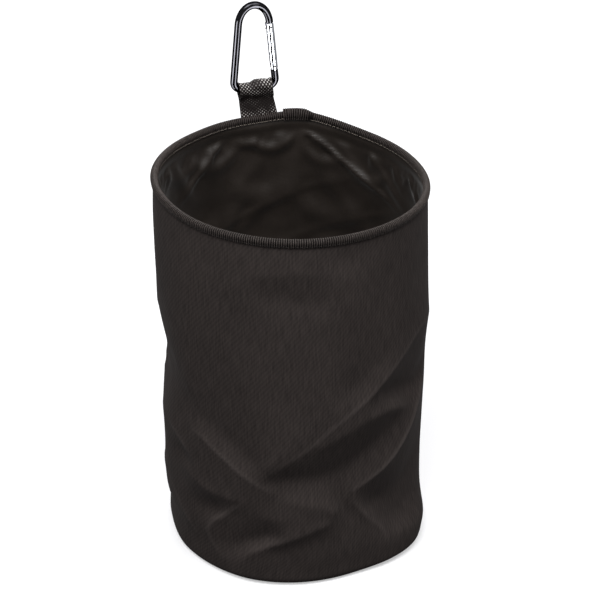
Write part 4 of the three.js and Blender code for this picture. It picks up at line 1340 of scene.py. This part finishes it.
mirror = np.array([-1, 1])
hook_line = np.concatenate([
    straight(nose, leg_top, 3),
    arc(0, bow_height, BOW_WIDTH / 2, BOW_RISE, bow_start, math.pi - bow_start, 60)[1:],
    straight((leg_foot + leg_up * LEFT_LEG) * mirror, leg_foot * mirror, 12)[1:],
    arc(-CORNER_X, HOOK_CORNER, HOOK_CORNER, HOOK_CORNER, math.pi - leg_lean, 1.5 * math.pi, 20)[1:],
    straight((-CORNER_X, 0), (CORNER_X, 0), 10)[1:],
    arc(CORNER_X, HOOK_CORNER, HOOK_CORNER, HOOK_CORNER, -0.5 * math.pi, leg_lean, 20)[1:],
    straight(leg_foot, shoulder, 5)[1:],
])
print("hook leans", round(math.degrees(leg_lean), 2), "degrees; gate reach", round(gate_reach, 2), "mm")

# %% [markdown]
# Black anodised metal mirrors its surroundings clearly but darkly, with faint scuffs. Two flat
# tongues stand on the bar's ends: the gate turns on one, and the other is a nose with a notch for
# the gate's cross pin. Each is a flat outline with a thickness, united with the bar by a Boolean
# modifier, which gives one closed form as if it were forged in one piece.

# %% Hook
TONGUE = 1.8
TONGUE_HALF = 2.0
TONGUE_SUNK = 1.0  # into the end of the bar
HINGE_TONGUE = (-4.2, 2.2)  # along the gate, from the hinge
NOSE_LENGTH = 5.2
NOTCH = 1.0
LATCH_DROP = 3.0
LIP = -3.1
LIP_DROP = 0.5
LIP_CHAMFER = 0.6
BACK_CHAMFER = 0.8
gloss_black, tree, shader, scuff = speckled("gloss black anodised aluminium", 0.004, "#232325", "#303033",
                                            4.0, Metallic=1.0, Specular_Tint=linear("#404040"))
dull = add_node(tree, "ShaderNodeMapRange", {"Value": scuff, "To Min": 0.05, "To Max": 0.12})
plug(tree, shader, {"Roughness": dull})

heading = np.gradient(hook_line, axis=0)
heading /= np.linalg.norm(heading, axis=1)[:, None]
beside = np.stack([-heading[:, 1], heading[:, 0]], -1)
ring = np.radians(np.arange(0, 360, 15))
bar_points = stacked(
    hook_line[:, None, 0] + BAR_RADIUS * np.cos(ring) * beside[:, None, 0],
    LOOP_Y + BAR_RADIUS * np.sin(ring),
    BAR_HEIGHT + hook_line[:, None, 1] + BAR_RADIUS * np.cos(ring) * beside[:, None, 1],
)
hinge_place = Vector((hinge[0], LOOP_Y, BAR_HEIGHT + hinge[1])) * MM
gate_axes = Matrix.Translation(hinge_place) @ Matrix.Rotation(-leg_lean, 4, "Y")


def plate(name, outline, thickness):
    """Flat outline in X and Z of the gate's own axes, with its thickness along Y, set in place."""
    count = len(outline)
    half = thickness / 2
    points = [(x, -half, z) for x, z in outline] + [(x, half, z) for x, z in outline]
    faces = [list(range(count)), list(range(2 * count - 1, count - 1, -1))]
    faces += [(i, i + count, (i + 1) % count + count, (i + 1) % count) for i in range(count)]
    mesh = bpy.data.meshes.new(name)
    mesh.from_pydata([gate_axes @ (Vector(p) * MM) for p in points], [], faces)
    return add_object(name, closed_form(mesh))


def block(name, half, low, high, thickness):
    """Plate with a plain rectangle for its outline."""
    return plate(name, [(-half, low), (half, low), (half, high), (-half, high)], thickness)


def combine(item, tool, operation):
    join = item.modifiers.new("combine", "BOOLEAN")
    join.operation = operation
    join.solver = "EXACT"
    join.object = tool
    settle(item, 35)
    bpy.data.objects.remove(tool)


hook = add_object("hook_bar", closed_form(grid_mesh("hook_bar", bar_points)), gloss_black)
latch = gate_reach - LATCH_DROP
nose_root = gate_reach + TONGUE_SUNK
nose_end = gate_reach - NOSE_LENGTH
lock = [(TONGUE_HALF, nose_root), (-TONGUE_HALF, nose_root), (LIP, gate_reach - LIP_DROP)]
lock += [(LIP, latch + NOTCH), (0, latch + NOTCH)]
lock += [(NOTCH * math.sin(a), latch + NOTCH * math.cos(a)) for a in np.radians(np.arange(20, 180, 20))]
lock += [(0, latch - NOTCH), (LIP, latch - NOTCH)]
lock += [(LIP, nose_end + LIP_CHAMFER), (LIP + LIP_CHAMFER, nose_end)]
lock += [(TONGUE_HALF - BACK_CHAMFER, nose_end), (TONGUE_HALF, nose_end + BACK_CHAMFER)]
combine(hook, plate("nose tongue", lock, TONGUE), "UNION")
combine(hook, block("hinge tongue", TONGUE_HALF, *HINGE_TONGUE, TONGUE), "UNION")
bright_metal.objects.link(hook)
dress(hook, "hook", "hook_black", "hook_body")

# %% [markdown]
# The gate is a bright aluminium rod, forked at both ends: the lower fork straddles the hinge
# tongue and the upper one the hooked nose. It starts as a turned rod and is then cut, as the real
# one is milled, with Boolean modifiers. A hidden bore holds the plunger and the spring.

# %% Gate
MARK_SPACING = 0.0004
MARK_LENGTH = 0.02
SLOT_PLAY = 0.6
SLOT = TONGUE + SLOT_PLAY
CUT_HALF = 6.0  # wider than the rod
CUT_FROM = -4.0  # past its lower end
LOW_FORK = 3.47
TOP_FORK = 6.2
BORE_RADIUS = 1.5
BORE_TOP = 14.2
BORE_SIDES = 24
ROD_SIDES = 48
SHAFT_FROM = 0.4
ROD_CHAMFER = 0.4

# Painted shade: the dark edge tint darkens the rod's edges, for the dark surroundings that it mirrors there.
satin_aluminium, tree, shader = start_material("satin aluminium", Metallic=1.0,
                                               Specular_Tint=linear("#2a2b2e"))
place = add_node(tree, "ShaderNodeTexCoord").outputs["Object"]
fine = (1 / MARK_LENGTH, 1 / MARK_LENGTH, 1 / MARK_SPACING)
lathed = {"Vector": place, "Rotation": (0, leg_lean, 0), "Scale": fine}
lathe_marks = add_node(tree, "ShaderNodeMapping", lathed)
marks = add_node(tree, "ShaderNodeTexNoise", {"Vector": lathe_marks, "Scale": 1.0, "Detail": 2.0})
colour = add_node(tree, "ShaderNodeValToRGB", {"Fac": marks})
colour.color_ramp.elements[0].color = linear("#9da0a5")
colour.color_ramp.elements[1].color = linear("#c3c6ca")
dull = add_node(tree, "ShaderNodeMapRange", {"Value": marks, "To Min": 0.145, "To Max": 0.16})
plug(tree, shader, {"Base Color": colour, "Roughness": dull})


def turned(name, radius, height, sides):
    """Round form on the gate's own axis, from radii and heights."""
    ring = np.linspace(0, 2 * math.pi, sides, endpoint=False)
    mesh = grid_mesh(name, stacked(radius * np.cos(ring), radius * np.sin(ring), height))
    mesh.transform(gate_axes)
    return closed_form(mesh)


gate_top = gate_reach - GATE_GAP
ring = np.linspace(0, 2 * math.pi, ROD_SIDES, endpoint=False)
end_r = GATE_RADIUS * np.array([0.02, 0.25, 0.5, 0.7, 0.85, 0.95, 1.0])[:, None]
end_z = -np.sqrt(GATE_RADIUS ** 2 - (end_r * np.cos(ring)) ** 2)
shaft_r = GATE_RADIUS - np.array([0, 0, 0, ROD_CHAMFER])[:, None]
shaft_z = np.array([SHAFT_FROM, gate_top / 2, gate_top - ROD_CHAMFER, gate_top])[:, None] + 0 * ring
rod_r = np.concatenate([end_r, shaft_r])
rod_z = np.concatenate([end_z, shaft_z])
rod = add_object("gate_rod", turned("gate_rod", rod_r, rod_z, ROD_SIDES), satin_aluminium)
bore_mesh = turned("spring bore", BORE_RADIUS, np.array([[CUT_FROM], [BORE_TOP]]), BORE_SIDES)
combine(rod, block("low fork", CUT_HALF, CUT_FROM, LOW_FORK, SLOT), "DIFFERENCE")
combine(rod, block("top fork", CUT_HALF, gate_reach - TOP_FORK, gate_top + 1, SLOT), "DIFFERENCE")
combine(rod, add_object("spring bore", bore_mesh), "DIFFERENCE")
bright_metal.objects.link(rod)
dress(rod, "gate", "gate_silver", "hook_gate")

# %% [markdown]
# In the bore of the gate a small coil spring stands on the plunger. When the gate opens, the plunger
# rises and the spring shortens. It is wound here as a piece of its own, with a mesh of its own. A
# ring of points carried up a helix gives the coil.

# %% Spring of the gate
SPRING_FOOT = 6.8
SPRING_RISE = 6.7
SPRING_TURNS = 7
SPRING_WIRE = 0.4
SPRING_RADIUS = 1.0

climb = np.linspace(0, 1, 16 * SPRING_TURNS + 1)[:, None]
wind = 2 * math.pi * SPRING_TURNS * climb
section = np.radians(np.arange(0, 360, 45))
reach = SPRING_RADIUS + SPRING_WIRE / 2 * np.cos(section)
rise = SPRING_FOOT + SPRING_WIRE / 2 + SPRING_RISE * climb + SPRING_WIRE / 2 * np.sin(section)
mesh = grid_mesh("gate_coil", np.stack([reach * np.cos(wind), reach * np.sin(wind), rise], -1))
mesh.transform(gate_axes)
coil = settle(add_object("gate_coil", closed_form(mesh), drawn_steel), 60)
dress(coil, "gate", "spring_steel", "gate_spring")
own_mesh(coil)

# %% [markdown]
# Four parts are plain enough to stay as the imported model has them: the rivet, the cross pin, the
# plunger and the stiff board in the base. They only need a finish, of plain turned steel for the
# small pins and of grey pulp board for the disc.

# %% Pins and board
plain_steel, *_ = speckled("plain steel pin", 0.0004, "#a5a6a8", "#cfd0d2", Metallic=1.0, Roughness=0.28)
grey_board, *_ = speckled("grey board", 0.003, "#585147", "#7a7164", 5.0, Roughness=0.85,
                          Specular_IOR_Level=0.2)
kept = {"hinge_rivet": plain_steel, "latch_pin": plain_steel, "gate_plunger": plain_steel,
        "base_board": grey_board}
for node, material in kept.items():
    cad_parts[node].data.materials.clear()
    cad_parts[node].data.materials.append(material)
print("kept nodes dressed:", len(kept))

# %% [markdown]
# The box of the dressed bag is measured at the end and printed beside the imported one, so that
# the two can be compared.

# %% Print the sizes
size = {"cad": [list(map(float, corner)) for corner in cad_box],
        "visual": [list(map(float, corner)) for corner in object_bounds()]}
print(size)
